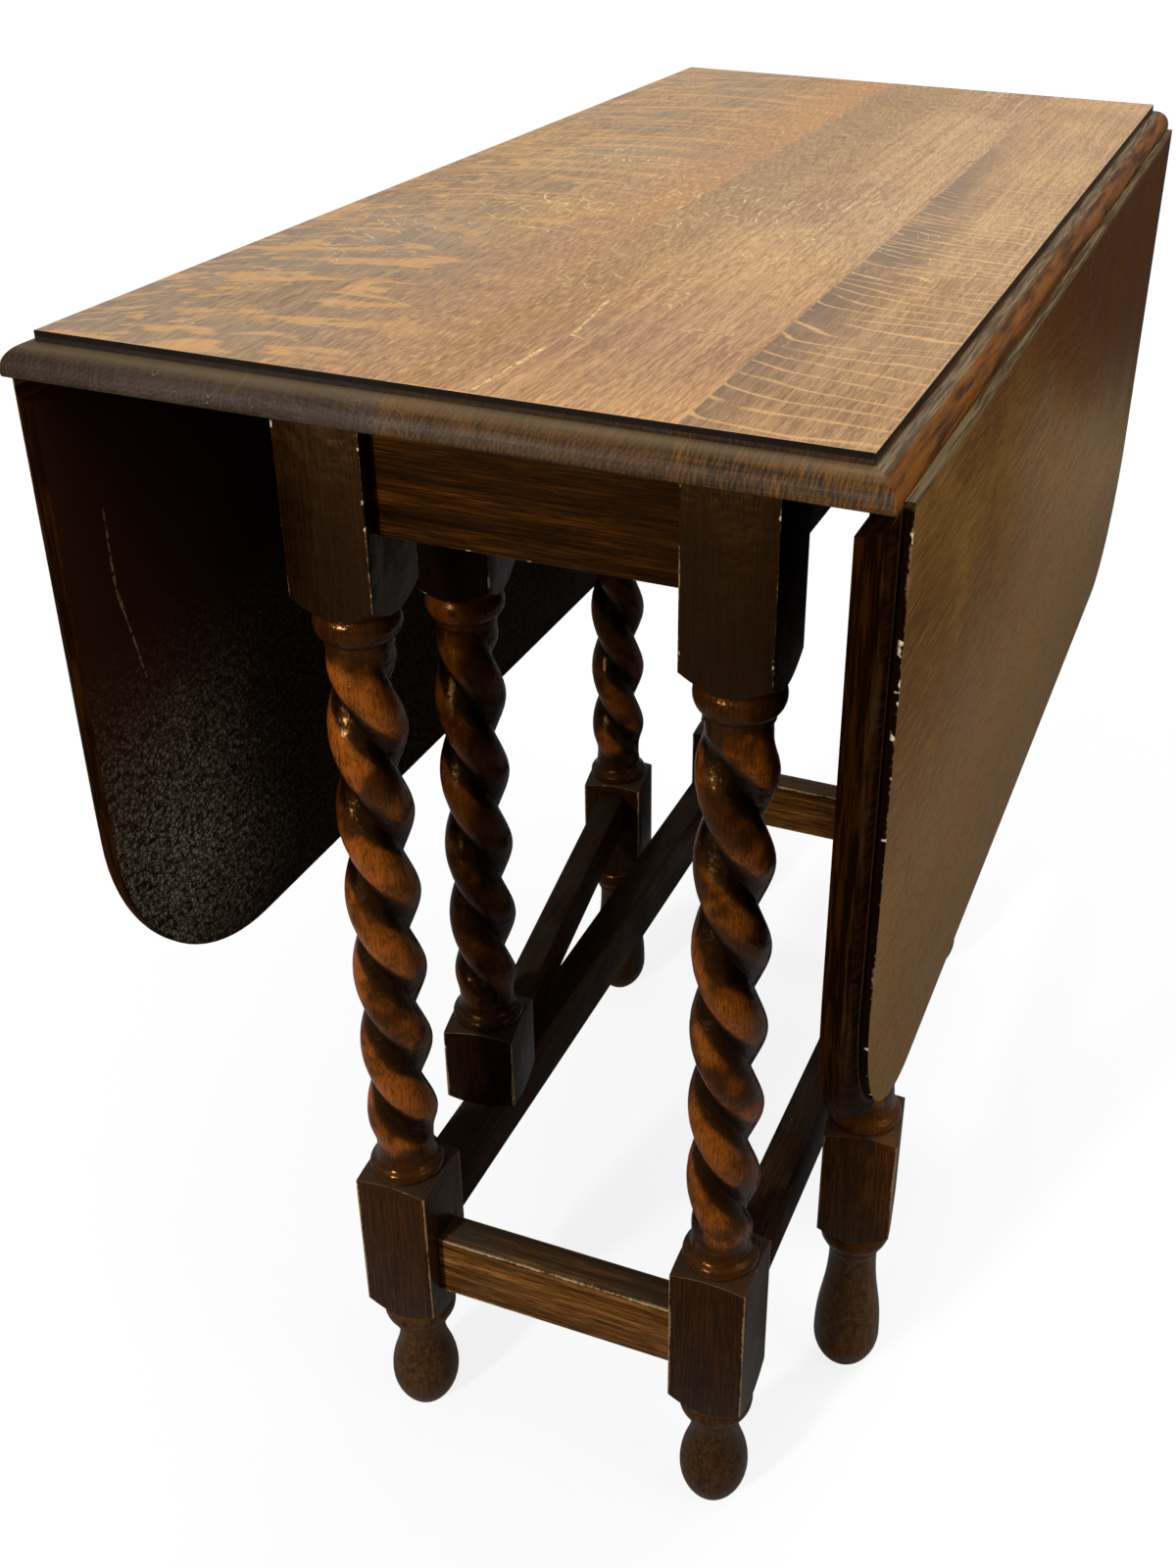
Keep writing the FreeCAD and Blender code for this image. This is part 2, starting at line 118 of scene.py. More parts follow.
def step(tree, value, low, high, start=0.0, end=1.0):
    """Smooth change from start to end as value goes from low to high."""
    inputs = {"Value": value, "From Min": low, "From Max": high, "To Min": start, "To Max": end}
    return add(tree, "MapRange", inputs, interpolation_type="SMOOTHSTEP").outputs[0]


def blend(tree, share, first, second, kind="MIX"):
    colours = [c if isinstance(c, bpy.types.NodeSocket) else (*c, 1) for c in (first, second)]
    inputs = {0: share, 6: colours[0], 7: colours[1]}
    return add(tree, "Mix", inputs, data_type="RGBA", blend_type=kind).outputs[2]


def noise(tree, vector, scale, detail=2.0, roughness=0.5, distortion=0.0):
    inputs = {"Vector": vector, "Scale": scale, "Detail": detail, "Roughness": roughness}
    inputs["Distortion"] = distortion
    return add(tree, "TexNoise", inputs).outputs[0]


def split(tree, vector):
    return add(tree, "SeparateXYZ", {0: vector}).outputs


def join(tree, x, y, z):
    return add(tree, "CombineXYZ", {0: x, 1: y, 2: z}).outputs[0]


def scaled(tree, colour, factor):
    return blend(tree, 1.0, colour, join(tree, factor, factor, factor), "MULTIPLY")


def new_group(name, inputs, outputs):
    """Empty node group. inputs gives each socket's default; a tuple makes it a vector."""
    tree = bpy.data.node_groups.new(name, "ShaderNodeTree")
    for label, value in inputs.items():
        kind = "NodeSocketVector" if isinstance(value, tuple) else "NodeSocketFloat"
        socket = tree.interface.new_socket(label, in_out="INPUT", socket_type=kind)
        socket.default_value = value
    for label in outputs:
        tree.interface.new_socket(label, in_out="OUTPUT", socket_type="NodeSocketFloat")
    return tree, tree.nodes.new("NodeGroupInput").outputs, tree.nodes.new("NodeGroupOutput").inputs


def use(tree, group, **inputs):
    """Places a group; an input named streak_width here is the socket Streak Width."""
    made = tree.nodes.new("ShaderNodeGroup")
    made.node_tree = group
    for key, value in inputs.items():
        label = key.replace("_", " ").title()
        if isinstance(value, bpy.types.NodeSocket):
            tree.links.new(value, made.inputs[label])
        else:
            made.inputs[label].default_value = value
    return made.outputs


def stretched(tree, vector, across, along):
    """Vector divided by a width across the grain and a length along it, which is Z."""
    over = calc(tree, "DIVIDE", 1.0, across)
    return vector_calc(tree, "MULTIPLY", vector, join(tree, over, over, calc(tree, "DIVIDE", 1.0, along)))


def streaks(tree, wood, across, along, detail=2.0, roughness=0.5):
    return noise(tree, stretched(tree, wood, across, along), 1.0, detail, roughness)


def uneven(tree, place, scales, detail=2.0, roughness=0.5):
    """Noise with its own scale on each axis."""
    return noise(tree, vector_calc(tree, "MULTIPLY", place, scales), 1.0, detail, roughness)


def make_fibre_group():
    """Oak's fibre: streaks along Z, dark pores among them, and slow changes of tone."""
    inputs = {"Vector": (0.0, 0.0, 0.0), "Streak Width": 0.0012, "Streak Length": 0.05}
    inputs.update({"Pore Width": 0.0004, "Pore Length": 0.007})
    tree, given, result = new_group("oak_fibre", inputs, ("Streak", "Pores", "Tone"))
    bend = noise(tree, given["Vector"], 9.0, 1.0)
    sway = vector_calc(tree, "SCALE", join(tree, bend, bend, 0.0))
    sway.node.inputs["Scale"].default_value = 0.004
    place = vector_calc(tree, "ADD", given["Vector"], sway)
    streak = streaks(tree, place, given["Streak Width"], given["Streak Length"], 3.0, 0.6)
    pores = streaks(tree, place, given["Pore Width"], given["Pore Length"], 0.0)
    early = step(tree, streak, 0.62, 0.44)
    pores = times(tree, step(tree, pores, 0.56, 0.68), early)
    tone = streaks(tree, place, 0.03, 0.25, 2.0)
    tree.links.new(step(tree, streak, 0.3, 0.7), result["Streak"])
    tree.links.new(pores, result["Pores"])
    tree.links.new(step(tree, tone, 0.3, 0.7), result["Tone"])
    return tree


def make_arris_group():
    """Distance to the nearest arris of a square or oblong length, from two attributes: across,
    the place measured from its centre line, and half, its half width and height."""
    tree, _, result = new_group("arris_distance", {}, ("Distance",))
    across = add(tree, "Attribute", attribute_name="across").outputs["Vector"]
    half = add(tree, "Attribute", attribute_name="half").outputs["Vector"]
    left = vector_calc(tree, "SUBTRACT", half, vector_calc(tree, "ABSOLUTE", across))
    x, y = split(tree, left)[:2]
    tree.links.new(calc(tree, "MAXIMUM", plus(tree, x, y), 0.0), result["Distance"])
    return tree


def make_wear_group():
    """Polish rubbed off along an arris within Reach of it, ragged, and small fresh chips."""
    inputs = {"Vector": (0.0, 0.0, 0.0), "Distance": 0.0, "Reach": 0.003, "Amount": 0.1}
    tree, given, result = new_group("arris_wear", inputs, ("Worn", "Chips"))
    far = calc(tree, "DIVIDE", given["Distance"], given["Reach"])
    broad = noise(tree, given["Vector"], 35.0, 3.0, 0.6)
    fine = noise(tree, given["Vector"], 420.0, 2.0, 0.6)
    ragged = plus(tree, times(tree, broad, 0.6), times(tree, fine, 0.4))
    near = calc(tree, "MULTIPLY_ADD", far, -0.5)
    near.node.inputs[2].default_value = 0.5
    level = plus(tree, near, ragged)
    edge = minus(tree, 1.0, given["Amount"])
    worn = step(tree, level, edge, plus(tree, edge, 0.14))
    inside = step(tree, far, 1.0, 0.75)
    chips = step(tree, noise(tree, given["Vector"], 150.0, 1.0), 0.66, 0.70)
    chips = times(tree, chips, step(tree, far, 0.5, 0.25))
    tree.links.new(times(tree, worn, inside), result["Worn"])
    tree.links.new(chips, result["Chips"])
    return tree


def make_scratch_group():
    """Short straight scratches in the XY plane of Vector, each a thin ellipse in its cell."""
    inputs = {"Vector": (0.0, 0.0, 0.0), "Angle": 0.0, "Length": 0.015, "Width": 0.0004, "Share": 0.5}
    tree, given, result = new_group("scratches", inputs, ("Scratch",))
    wander = noise(tree, given["Vector"], 40.0, 1.0)
    turned = plus(tree, given["Angle"], times(tree, wander, 0.5))
    turned = add(tree, "VectorRotate", {"Vector": given["Vector"], "Angle": turned}, rotation_type="Z_AXIS")
    length, width = [calc(tree, "DIVIDE", 0.24, given[label]) for label in ("Length", "Width")]
    place = vector_calc(tree, "MULTIPLY", turned.outputs[0], join(tree, length, width, 0.0))
    cells = add(tree, "TexVoronoi", {"Vector": place, "Scale": 1.0}, voronoi_dimensions="2D")
    mark = step(tree, cells.outputs["Distance"], 0.13, 0.05)
    kept = split(tree, cells.outputs["Color"])[0]
    kept = calc(tree, "LESS_THAN", kept, given["Share"])
    tree.links.new(times(tree, mark, kept), result["Scratch"])
    return tree


fibre_group = make_fibre_group()
arris_group = make_arris_group()
wear_group = make_wear_group()
scratch_group = make_scratch_group()


def new_material(name):
    """Material with its Principled shader, and the place on the object as a vector."""
    material = bpy.data.materials.new(name)
    material.use_nodes = True
    tree = material.node_tree
    shader = tree.nodes["Principled BSDF"]
    place = tree.nodes.new("ShaderNodeTexCoord").outputs["Object"]
    return material, tree, shader, place


def along_grain(tree, place, turn=(0.0, 0.0, 0.0), shift=(0.0, 0.0, 0.0)):
    """Place turned so that the grain lies along Z."""
    inputs = {"Vector": place, "Rotation": turn, "Location": shift}
    return add(tree, "Mapping", inputs, vector_type="POINT").outputs[0]


def facing(tree):
    """Which way the surface faces, as three numbers."""
    return split(tree, tree.nodes["Texture Coordinate"].outputs["Normal"])


def rub_off(tree, colour, wear, share, bare=worn_oak):
    """Colour with its polish rubbed off to bare wood, and chipped."""
    colour = blend(tree, times(tree, wear["Worn"], share), colour, bare)
    return blend(tree, wear["Chips"], colour, raw_chip)


def polish(tree, shader, colour, roughness, height, specular=0.05, tint=(1.0, 1.0, 1.0, 1.0)):
    """Sets colour, roughness, relief with its height in millimetres, and the reflection."""
    tree.links.new(colour, shader.inputs["Base Color"])
    tree.links.new(roughness, shader.inputs["Roughness"])
    bump = add(tree, "Bump", {"Height": height, "Distance": 0.001, "Strength": 1.0})
    tree.links.new(bump.outputs[0], shader.inputs["Normal"])
    shader.inputs["Specular IOR Level"].default_value = specular
    shader.inputs["Specular Tint"].default_value = tint


def turned_oak(name, lift, specular):
    """Polished oak of a leg: amber strands, dark hollows, blocks painted darker higher up as
    shade, and a worn foot. lift scales its colour as painted light or shade, higher for a leg
    that stands lit and lower for one in shade; specular is how strongly its polish reflects."""
    material, tree, shader, place = new_material(name)
    height = split(tree, place)[2]
    fibre = use(tree, fibre_group, vector=place)
    across = add(tree, "Attribute", attribute_name="across").outputs["Vector"]
    u, v = split(tree, vector_calc(tree, "ABSOLUTE", across))[:2]
    radius = vector_calc(tree, "LENGTH", join(tree, u, v, 0.0), out=1)
    flat = step(tree, calc(tree, "MAXIMUM", u, v), leg_half - 0.0006, leg_half - 0.0002)
    rubbed = step(tree, radius, groove_radius, strand_top_radius)
    cloud = noise(tree, place, 28.0, 3.0, 0.6)
    rubbed = step(tree, plus(tree, rubbed, times(tree, cloud, 0.8)), 0.62, 1.40)
    strand = blend(tree, rubbed, turned_dark, turned_brown)
    bright = times(tree, step(tree, rubbed, 0.45, 1.0), step(tree, cloud, 0.38, 0.60))
    strand = blend(tree, bright, strand, turned_amber)
    twisted = add(tree, "Attribute", attribute_name="twisted").outputs["Fac"]
    strand = blend(tree, step(tree, twisted, 0.9, 0.4, 0.0, 0.9), strand, collar_brown)
    foot = step(tree, height, foot_top, foot_top - 0.006, 0.0, 0.85)
    mottle = noise(tree, place, 240.0, 4.0, 0.75)
    foot_colour = blend(tree, step(tree, mottle, 0.34, 0.62), foot_dark, foot_brown)
    specks = step(tree, noise(tree, place, 620.0, 2.0), 0.68, 0.76, 0.0, 0.7)
    strand = blend(tree, foot, strand, blend(tree, specks, foot_colour, worn_oak))
    fine = streaks(tree, place, 0.0007, 0.012, 1.0)
    grain = plus(tree, times(tree, fibre["Streak"], 0.35), times(tree, fine, 0.9))
    block = blend(tree, step(tree, grain, 0.38, 0.86), block_brown, block_light)
    # painted shade: the blocks are darker higher up, where the top shades them
    shaded = step(tree, height, 0.40, 0.62, 1.1, 0.28)
    block = scaled(tree, block, shaded)
    colour = blend(tree, flat, strand, block)
    # painted light and shade: lift makes the whole leg lighter where it stands lit, darker in shade
    shade = step(tree, fibre["Streak"], 0.0, 1.0, 0.8 * lift, 1.2 * lift)
    colour = scaled(tree, colour, shade)
    colour = blend(tree, times(tree, fibre["Pores"], 0.75), colour, turned_dark)
    distance = use(tree, arris_group)["Distance"]
    rounded = add(tree, "Attribute", attribute_name="rounded").outputs["Fac"]
    distance = calc(tree, "MINIMUM", distance, step(tree, rounded, 0.0, 1.0, 0.01, 0.0006))
    amount = step(tree, height, 0.40, 0.22, 0.06, 0.24)
    wear = use(tree, wear_group, vector=place, distance=distance, reach=0.0026, amount=amount)
    colour = rub_off(tree, colour, wear, 0.75)
    ledge = times(tree, step(tree, facing(tree)[2], 0.55, 0.95), 0.45)
    colour = blend(tree, ledge, colour, dust_grey)
    rough = step(tree, cloud, 0.3, 0.7, 0.11, 0.22)
    rough = plus(tree, rough, times(tree, calc(tree, "MAXIMUM", flat, foot), 0.2))
    rough = plus(tree, rough, times(tree, wear["Worn"], 0.25))
    rough = plus(tree, rough, times(tree, ledge, 0.5), clamp=True)
    dents = times(tree, noise(tree, place, 110.0, 1.0), 0.58)
    ripples = times(tree, noise(tree, place, 320.0, 1.0), 0.14)
    relief = plus(tree, plus(tree, dents, ripples), times(tree, fibre["Streak"], 0.03))
    relief = minus(tree, relief, times(tree, fibre["Pores"], 0.05))
    relief = minus(tree, relief, times(tree, wear["Chips"], 0.4))
    polish(tree, shader, colour, rough, relief, specular, polish_tint)
    return material


def make_active(piece):
    bpy.ops.object.select_all(action="DESELECT")
    piece.select_set(True)
    bpy.context.view_layer.objects.active = piece


def merged_copy(node, name):
    """Copy of a CAD node with its loose triangles joined and each flat made one face."""
    make_active(frame["nodes"][node])
    bpy.ops.object.duplicate()
    piece = bpy.context.active_object
    piece.name = name
    piece.data.name = name
    del piece["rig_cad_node"]
    bpy.ops.mesh.customdata_custom_splitnormals_clear()
    bpy.ops.object.mode_set(mode="EDIT")
    bpy.ops.mesh.select_mode(type="EDGE")
    bpy.ops.mesh.select_all(action="SELECT")
    bpy.ops.mesh.remove_doubles(threshold=weld_distance)
    bpy.ops.mesh.dissolve_limited(angle_limit=flat_angle)
    bpy.ops.object.mode_set(mode="OBJECT")
    return piece


def soften(piece, width, wanted=lambda point: True, segments=2):
    """Rounds the sharp edges whose two ends are both wanted, and marks the faces made."""
    make_active(piece)
    bpy.ops.object.mode_set(mode="EDIT")
    bpy.ops.mesh.select_mode(type="EDGE")
    bpy.ops.mesh.select_all(action="DESELECT")
    bpy.ops.mesh.edges_select_sharp(sharpness=sharp_angle)
    bpy.ops.object.mode_set(mode="OBJECT")
    mesh = piece.data
    sharp = [edge.index for edge in mesh.edges if edge.select]
    for group in (mesh.vertices, mesh.edges, mesh.polygons):
        group.foreach_set("select", [False] * len(group))
    for index in sharp:
        ends = [mesh.vertices[vertex].co for vertex in mesh.edges[index].vertices]
        mesh.edges[index].select = all(wanted(end) for end in ends)
    bpy.ops.object.mode_set(mode="EDIT")
    bpy.ops.mesh.bevel(offset=width, segments=segments, profile=0.5, affect="EDGES", clamp_overlap=True)
    bpy.ops.object.mode_set(mode="OBJECT")
    edge_ends = [[mesh.vertices[vertex].co for vertex in edge.vertices] for edge in mesh.edges]
    lengths = [(first - second).length for first, second in edge_ends]
    narrow = []
    for face in mesh.polygons:
        rim = sum(lengths[mesh.loops[loop].edge_index] for loop in face.loop_indices)
        narrow.append(float(face.select and face.area < rim * width))
    mesh.attributes.new("rounded", "FLOAT", "FACE").data.foreach_set("value", narrow)
    bpy.ops.object.shade_smooth_by_angle(angle=sharp_angle)


def measure_across(piece, centre, turn, half):
    """Stores each point's place from the piece's centre, with its long way as the third
    number, and the piece's half width and height."""
    across = piece.data.attributes.new("across", "FLOAT_VECTOR", "POINT")
    halves = piece.data.attributes.new("half", "FLOAT_VECTOR", "POINT")
    places = []
    for vertex in piece.data.vertices:
        places.extend(turn @ (vertex.co - centre))
    across.data.foreach_set("vector", places)
    halves.data.foreach_set("vector", list(half) * len(piece.data.vertices))


def finish_piece(piece, material, body, slot, *nodes):
    """Gives a piece its material and body, and lets it stand for its CAD nodes. slot is not used."""
    piece.data.materials.clear()
    piece.data.materials.append(material)
    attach(piece, body)
    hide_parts(*nodes)
    return piece


def leg_piece(node, name, material, body, run, turn=0.0):
    """Leg or post with softened block arrises. run is where its twist starts and ends, and
    turn its angle about its own axis."""
    low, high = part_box(node)
    centre = (low + high) / 2
    level = Matrix.Rotation(-turn, 3, "Z")

    def on_block(point):
        place = level @ (point - centre)
        return max(abs(place.x), abs(place.y)) > leg_half - touch

    piece = merged_copy(node, name)
    soften(piece, leg_rounding, on_block)
    measure_across(piece, centre, level, (leg_half, leg_half, 0))
    twisted = [float(run[0] <= vertex.co.z <= run[1]) for vertex in piece.data.vertices]
    piece.data.attributes.new("twisted", "FLOAT", "POINT").data.foreach_set("value", twisted)
    return finish_piece(piece, material, body, "turned_oak", node)


# Lit and shaded copies of one finish: the front left leg is painted as lit, the other three as standing in
# shade.
painted_lit_leg_oak = turned_oak("painted_lit_leg_oak", 0.73, 0.36)
painted_shade_leg_oak = turned_oak("painted_shade_leg_oak", 0.54, 0.30)
for corner in ("front_left", "front_right", "back_left", "back_right"):
    finish = painted_lit_leg_oak if corner == "front_left" else painted_shade_leg_oak
    leg_piece("leg_" + corner, corner + "_leg", finish, "table_frame", twist_run)


# Aprons and stretchers
# Straight-grained oak rails, tenoned and glued into the legs: four aprons under the top, two
# low end stretchers and two long side stretchers. Feet have rubbed the stretchers' upper
# arrises down to pale wood.
apron_dark, apron_brown = (0.007, 0.0019, 0.0002), (0.023, 0.0066, 0.0006)
apron_amber = (0.080, 0.025, 0.002)
stretcher_dark, stretcher_brown = (0.022, 0.007, 0.001), (0.060, 0.022, 0.004)
trodden_dark, trodden_brown = (0.030, 0.010, 0.001), (0.13, 0.048, 0.009)
trodden_light, trodden_bare = (0.30, 0.125, 0.030), (0.55, 0.38, 0.21)
bar_rounding = 0.0008


def rail_oak(name, dark, mid, light, turn, amount, reach, dust, bare=worn_oak, specular=0.12):
    """Polished oak with straight grain, dark and amber in streaks, and worn arrises."""
    material, tree, shader, place = new_material(name)
    wood = along_grain(tree, place, turn)
    fibre = use(tree, fibre_group, vector=wood, streak_width=0.0009, streak_length=0.03)
    rings = streaks(tree, wood, 0.0050, 0.22, 4.0, 0.65)
    fine = streaks(tree, wood, 0.0007, 0.022, 2.0)
    tone = plus(tree, times(tree, rings, 0.7), times(tree, fine, 0.4))
    colour = blend(tree, step(tree, tone, 0.42, 0.62), dark, mid)
    bright = times(tree, step(tree, tone, 0.50, 0.74), step(tree, fibre["Streak"], 0.1, 0.8))
    colour = blend(tree, bright, colour, light)
    shade = step(tree, fibre["Streak"], 0.0, 1.0, 0.8, 1.15)
    colour = scaled(tree, colour, shade)
    colour = blend(tree, times(tree, fibre["Pores"], 0.8), colour, dark)
    distance = use(tree, arris_group)["Distance"]
    wear = use(tree, wear_group, vector=place, distance=distance, reach=reach, amount=amount)
    colour = rub_off(tree, colour, wear, 0.75, bare)
    cloud = noise(tree, place, 24.0, 3.0, 0.6)
    ledge = times(tree, step(tree, facing(tree)[2], 0.6, 0.95), step(tree, cloud, 0.25, 0.7, 0.3, 1.0))
    ledge = times(tree, ledge, dust)
    colour = blend(tree, ledge, colour, dust_grey)
    rough = step(tree, cloud, 0.3, 0.7, 0.34, 0.5)
    rough = plus(tree, rough, times(tree, ledge, 0.3), clamp=True)
    relief = times(tree, minus(tree, fibre["Streak"], fibre["Pores"]), 0.06)
    relief = plus(tree, relief, times(tree, noise(tree, place, 90.0), 0.25))
    relief = minus(tree, relief, times(tree, wear["Chips"], 0.5))
    polish(tree, shader, colour, rough, relief, specular, polish_tint)
    return material


along_x = (0.0, math.radians(90), 0.0)
along_y = (math.radians(90), 0.0, 0.0)
swap_x = Matrix(((0, 1, 0), (0, 0, 1), (1, 0, 0)))
swap_y = Matrix(((1, 0, 0), (0, 0, 1), (0, 1, 0)))


def bar_piece(node, name, material, body, turn, swap):
    """Apron, stretcher or rail with softened arrises. turn is its angle about Z; swap puts
    its length third."""
    level = swap @ Matrix.Rotation(-turn, 3, "Z")
    piece = merged_copy(node, name)
    low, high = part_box(node)
    centre = (low + high) / 2
    places = [level @ (vertex.co - centre) for vertex in piece.data.vertices]
    half = [max(place[axis] for place in places) for axis in range(3)]

    def on_face(point):
        place = level @ (point - centre)
        return abs(place[0]) > half[0] - touch or abs(place[1]) > half[1] - touch

    soften(piece, bar_rounding, on_face)
    measure_across(piece, centre, level, (half[0], half[1], 0))
    return finish_piece(piece, material, body, "rail_oak", node)


apron_end_oak = rail_oak("apron_end_oak", apron_dark, apron_brown, apron_amber, along_x, 0.06, 0.002, 0.2)
apron_side_oak = rail_oak("apron_side_oak", apron_dark, apron_brown, apron_amber, along_y, 0.05, 0.002, 0.2)
stretcher_end_oak = rail_oak(
    "stretcher_end_oak", trodden_dark, trodden_brown, trodden_light, along_x, 0.22, 0.0032, 0.8,
    trodden_bare)
stretcher_side_oak = rail_oak(
    "stretcher_side_oak", apron_dark, stretcher_dark, stretcher_brown, along_y, 0.0, 0.0004, 0.5,
    specular=0.02)
for end in ("front", "back"):
    bar_piece("apron_" + end, end + "_apron", apron_end_oak, "table_frame", 0, swap_x)
    bar_piece("stretcher_" + end, end + "_stretcher", stretcher_end_oak, "table_frame", 0, swap_x)
for side in ("left", "right"):
    bar_piece("apron_" + side, side + "_apron", apron_side_oak, "table_frame", 0, swap_y)
    bar_piece("stretcher_" + side, side + "_stretcher", stretcher_side_oak, "table_frame", 0, swap_y)


# Glue blocks and top screws
# Sawn oak blocks glued inside the aprons, unpolished and dark with age. A countersunk steel
# screw through each of them holds the top.
raw_dark, raw_light = (0.060, 0.036, 0.018), (0.20, 0.135, 0.075)
steel_dark, steel_light = (0.10, 0.09, 0.08), (0.38, 0.36, 0.33)
block_rounding = 0.0006


def sawn_oak(name):
    """Unpolished oak with saw marks across its grain."""
    material, tree, shader, place = new_material(name)
    fibre = use(tree, fibre_group, vector=along_grain(tree, place, along_y))
    colour = blend(tree, fibre["Streak"], raw_dark, raw_light)
    colour = blend(tree, times(tree, fibre["Pores"], 0.6), colour, raw_dark)
    stain = noise(tree, place, 30.0, 3.0)
    colour = blend(tree, step(tree, stain, 0.45, 0.65, 0.0, 0.6), colour, raw_dark)
    saw = streaks(tree, along_grain(tree, place, along_x), 0.0009, 0.05, 1.0)
    relief = times(tree, plus(tree, fibre["Streak"], saw), 0.2)
    polish(tree, shader, colour, step(tree, stain, 0.3, 0.7, 0.65, 0.85), relief, 0.2)
    return material


def aged_metal(name, dark, light, metal):
    """Metal with dull brown stains in its low places."""
    material, tree, shader, place = new_material(name)
    stain = noise(tree, place, 260.0, 4.0, 0.65)
    share = step(tree, stain, 0.4, 0.65)
    colour = blend(tree, share, dark, light)
    rough = step(tree, stain, 0.35, 0.65, 0.62, 0.36)
    polish(tree, shader, colour, rough, times(tree, stain, 0.15), 0.5)
    tree.links.new(step(tree, stain, 0.35, 0.6, 0.3 * metal, metal), shader.inputs["Metallic"])
    return material


def dress_node(node, material):
    """CAD node that keeps its own mesh and gets its finish."""
    for place in frame["nodes"][node].material_slots:
        place.material = material


glue_block_oak = sawn_oak("glue_block_oak")
screw_steel = aged_metal("screw_steel", steel_dark, steel_light, 1.0)
for side in ("front", "back", "left", "right"):
    piece = merged_copy("glue_blocks_" + side, side + "_glue_blocks")
    soften(piece, block_rounding)
    finish_piece(piece, glue_block_oak, "table_frame", "raw_wood", "glue_blocks_" + side)
dress_node("top_screws", screw_steel)


# Gates
# Under each leaf a gate turns on a post between the side apron and the side stretcher: post,
# outer leg, and two rails tenoned between them. At rest it stands a little open, so all its
# pieces lie turned by the same angle.
post_low, post_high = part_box("gate_right_post")
outer_low, outer_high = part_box("gate_right_leg")
gate_run = (outer_low + outer_high - post_low - post_high) / 2
gate_turn = math.atan2(gate_run.x, -gate_run.y)
# Lit and shaded copies of the leg finish: the right gate's leg is painted as lit, the left gate's leg and
# both posts as standing in shade.
gate_leg_finishes = {
    "left": turned_oak("painted_shade_gate_leg_oak", 0.30, 0.15),
    "right": turned_oak("painted_lit_gate_leg_oak", 1.25, 0.33),
}
painted_shade_post_oak = turned_oak("painted_shade_post_oak", 0.19, 0.14)
gate_grain = (math.radians(90), 0.0, -gate_turn)
gate_rail_oak = rail_oak(
    "gate_rail_oak", apron_dark, stretcher_dark, stretcher_brown, gate_grain, 0.0, 0.0004, 0.5,
    specular=0.02)
for side in ("left", "right"):
    gate, stem = side + "_gate", "gate_" + side + "_"
    leg_piece(stem + "post", gate + "_post", painted_shade_post_oak, gate, post_twist_run, gate_turn)
    leg_piece(stem + "leg", gate + "_leg", gate_leg_finishes[side], gate, gate_twist_run, gate_turn)
    for level in ("top", "bottom"):
        name = level + "_rail"
        bar_piece(stem + name, gate + "_" + name, gate_rail_oak, gate, gate_turn, swap_y)


# Top
# Three oak boards glued edge to edge: quarter-sawn with broad ray flecks on the left, plain
# in the middle, and a narrow one with rays across it on the right. Its edge is moulded to a
# quarter round below a step. The polish is thin and scratched. Painted light and sheen tint it
# from the front to the back, and the step's riser is painted black as its shadow.
field_half = Vector((0.182, 0.390))
left_seam, right_seam = -0.015, 0.1065
top_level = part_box("top_board_left")[1].z
step_height, board_rounding, seam_reach = 0.0045, 0.0005, 0.001
step_level = top_level - step_height
field_left = (0.26, 0.172, 0.105), (0.44, 0.275, 0.146), (0.70, 0.43, 0.18)
field_middle = (0.38, 0.180, 0.082), (0.65, 0.340, 0.152), (0.97, 0.57, 0.22)
field_right = (0.33, 0.18, 0.085), (0.53, 0.295, 0.130), (0.74, 0.45, 0.19)
field_gold = (0.34, 0.192, 0.080), (0.60, 0.335, 0.138), (0.96, 0.56, 0.19)
fleck_orange, ray_orange, scratch_gold = (0.84, 0.44, 0.16), (0.86, 0.50, 0.21), (1.0, 0.74, 0.30)
grey_haze, seam_brown = (0.32, 0.26, 0.20), (0.24, 0.165, 0.105)
nose_red, nose_dark, nose_pale = (0.25, 0.080, 0.007), (0.055, 0.016, 0.001), (0.23, 0.160, 0.085)
end_dark, ledge_brown = (0.024, 0.014, 0.007), (0.085, 0.050, 0.022)
end_grey, end_brown, end_red = (0.060, 0.038, 0.026), (0.115, 0.054, 0.017), (0.195, 0.079, 0.016)
underside_brown, step_shadow_black = (0.020, 0.010, 0.005), (0.006, 0.003, 0.001)
scratched_place = (-0.02, -0.12, 0.0)


def make_fleck_group():
    """Ray flecks of quarter-sawn oak: ragged patches of Size, broken by the fibre's streaks."""
    inputs = {"Vector": (0.0, 0.0, 0.0), "Streak": 0.5, "Size": 0.022, "Stretch": 1.3, "Share": 0.4}
    tree, given, result = new_group("ray_flecks", inputs, ("Fleck",))
    scale = calc(tree, "DIVIDE", 1.0, given["Size"])
    across = calc(tree, "DIVIDE", 1.0, given["Stretch"])
    place = vector_calc(tree, "MULTIPLY", given["Vector"], join(tree, across, given["Stretch"], 1.0))
    patch = noise(tree, place, scale, 2.0, 0.5, 0.7)
    ragged = times(tree, minus(tree, given["Streak"], 0.5), 0.16)
    level = plus(tree, patch, ragged)
    edge = minus(tree, 0.72, times(tree, given["Share"], 0.3))
    tree.links.new(step(tree, level, edge, plus(tree, edge, 0.06)), result["Fleck"])
    return tree


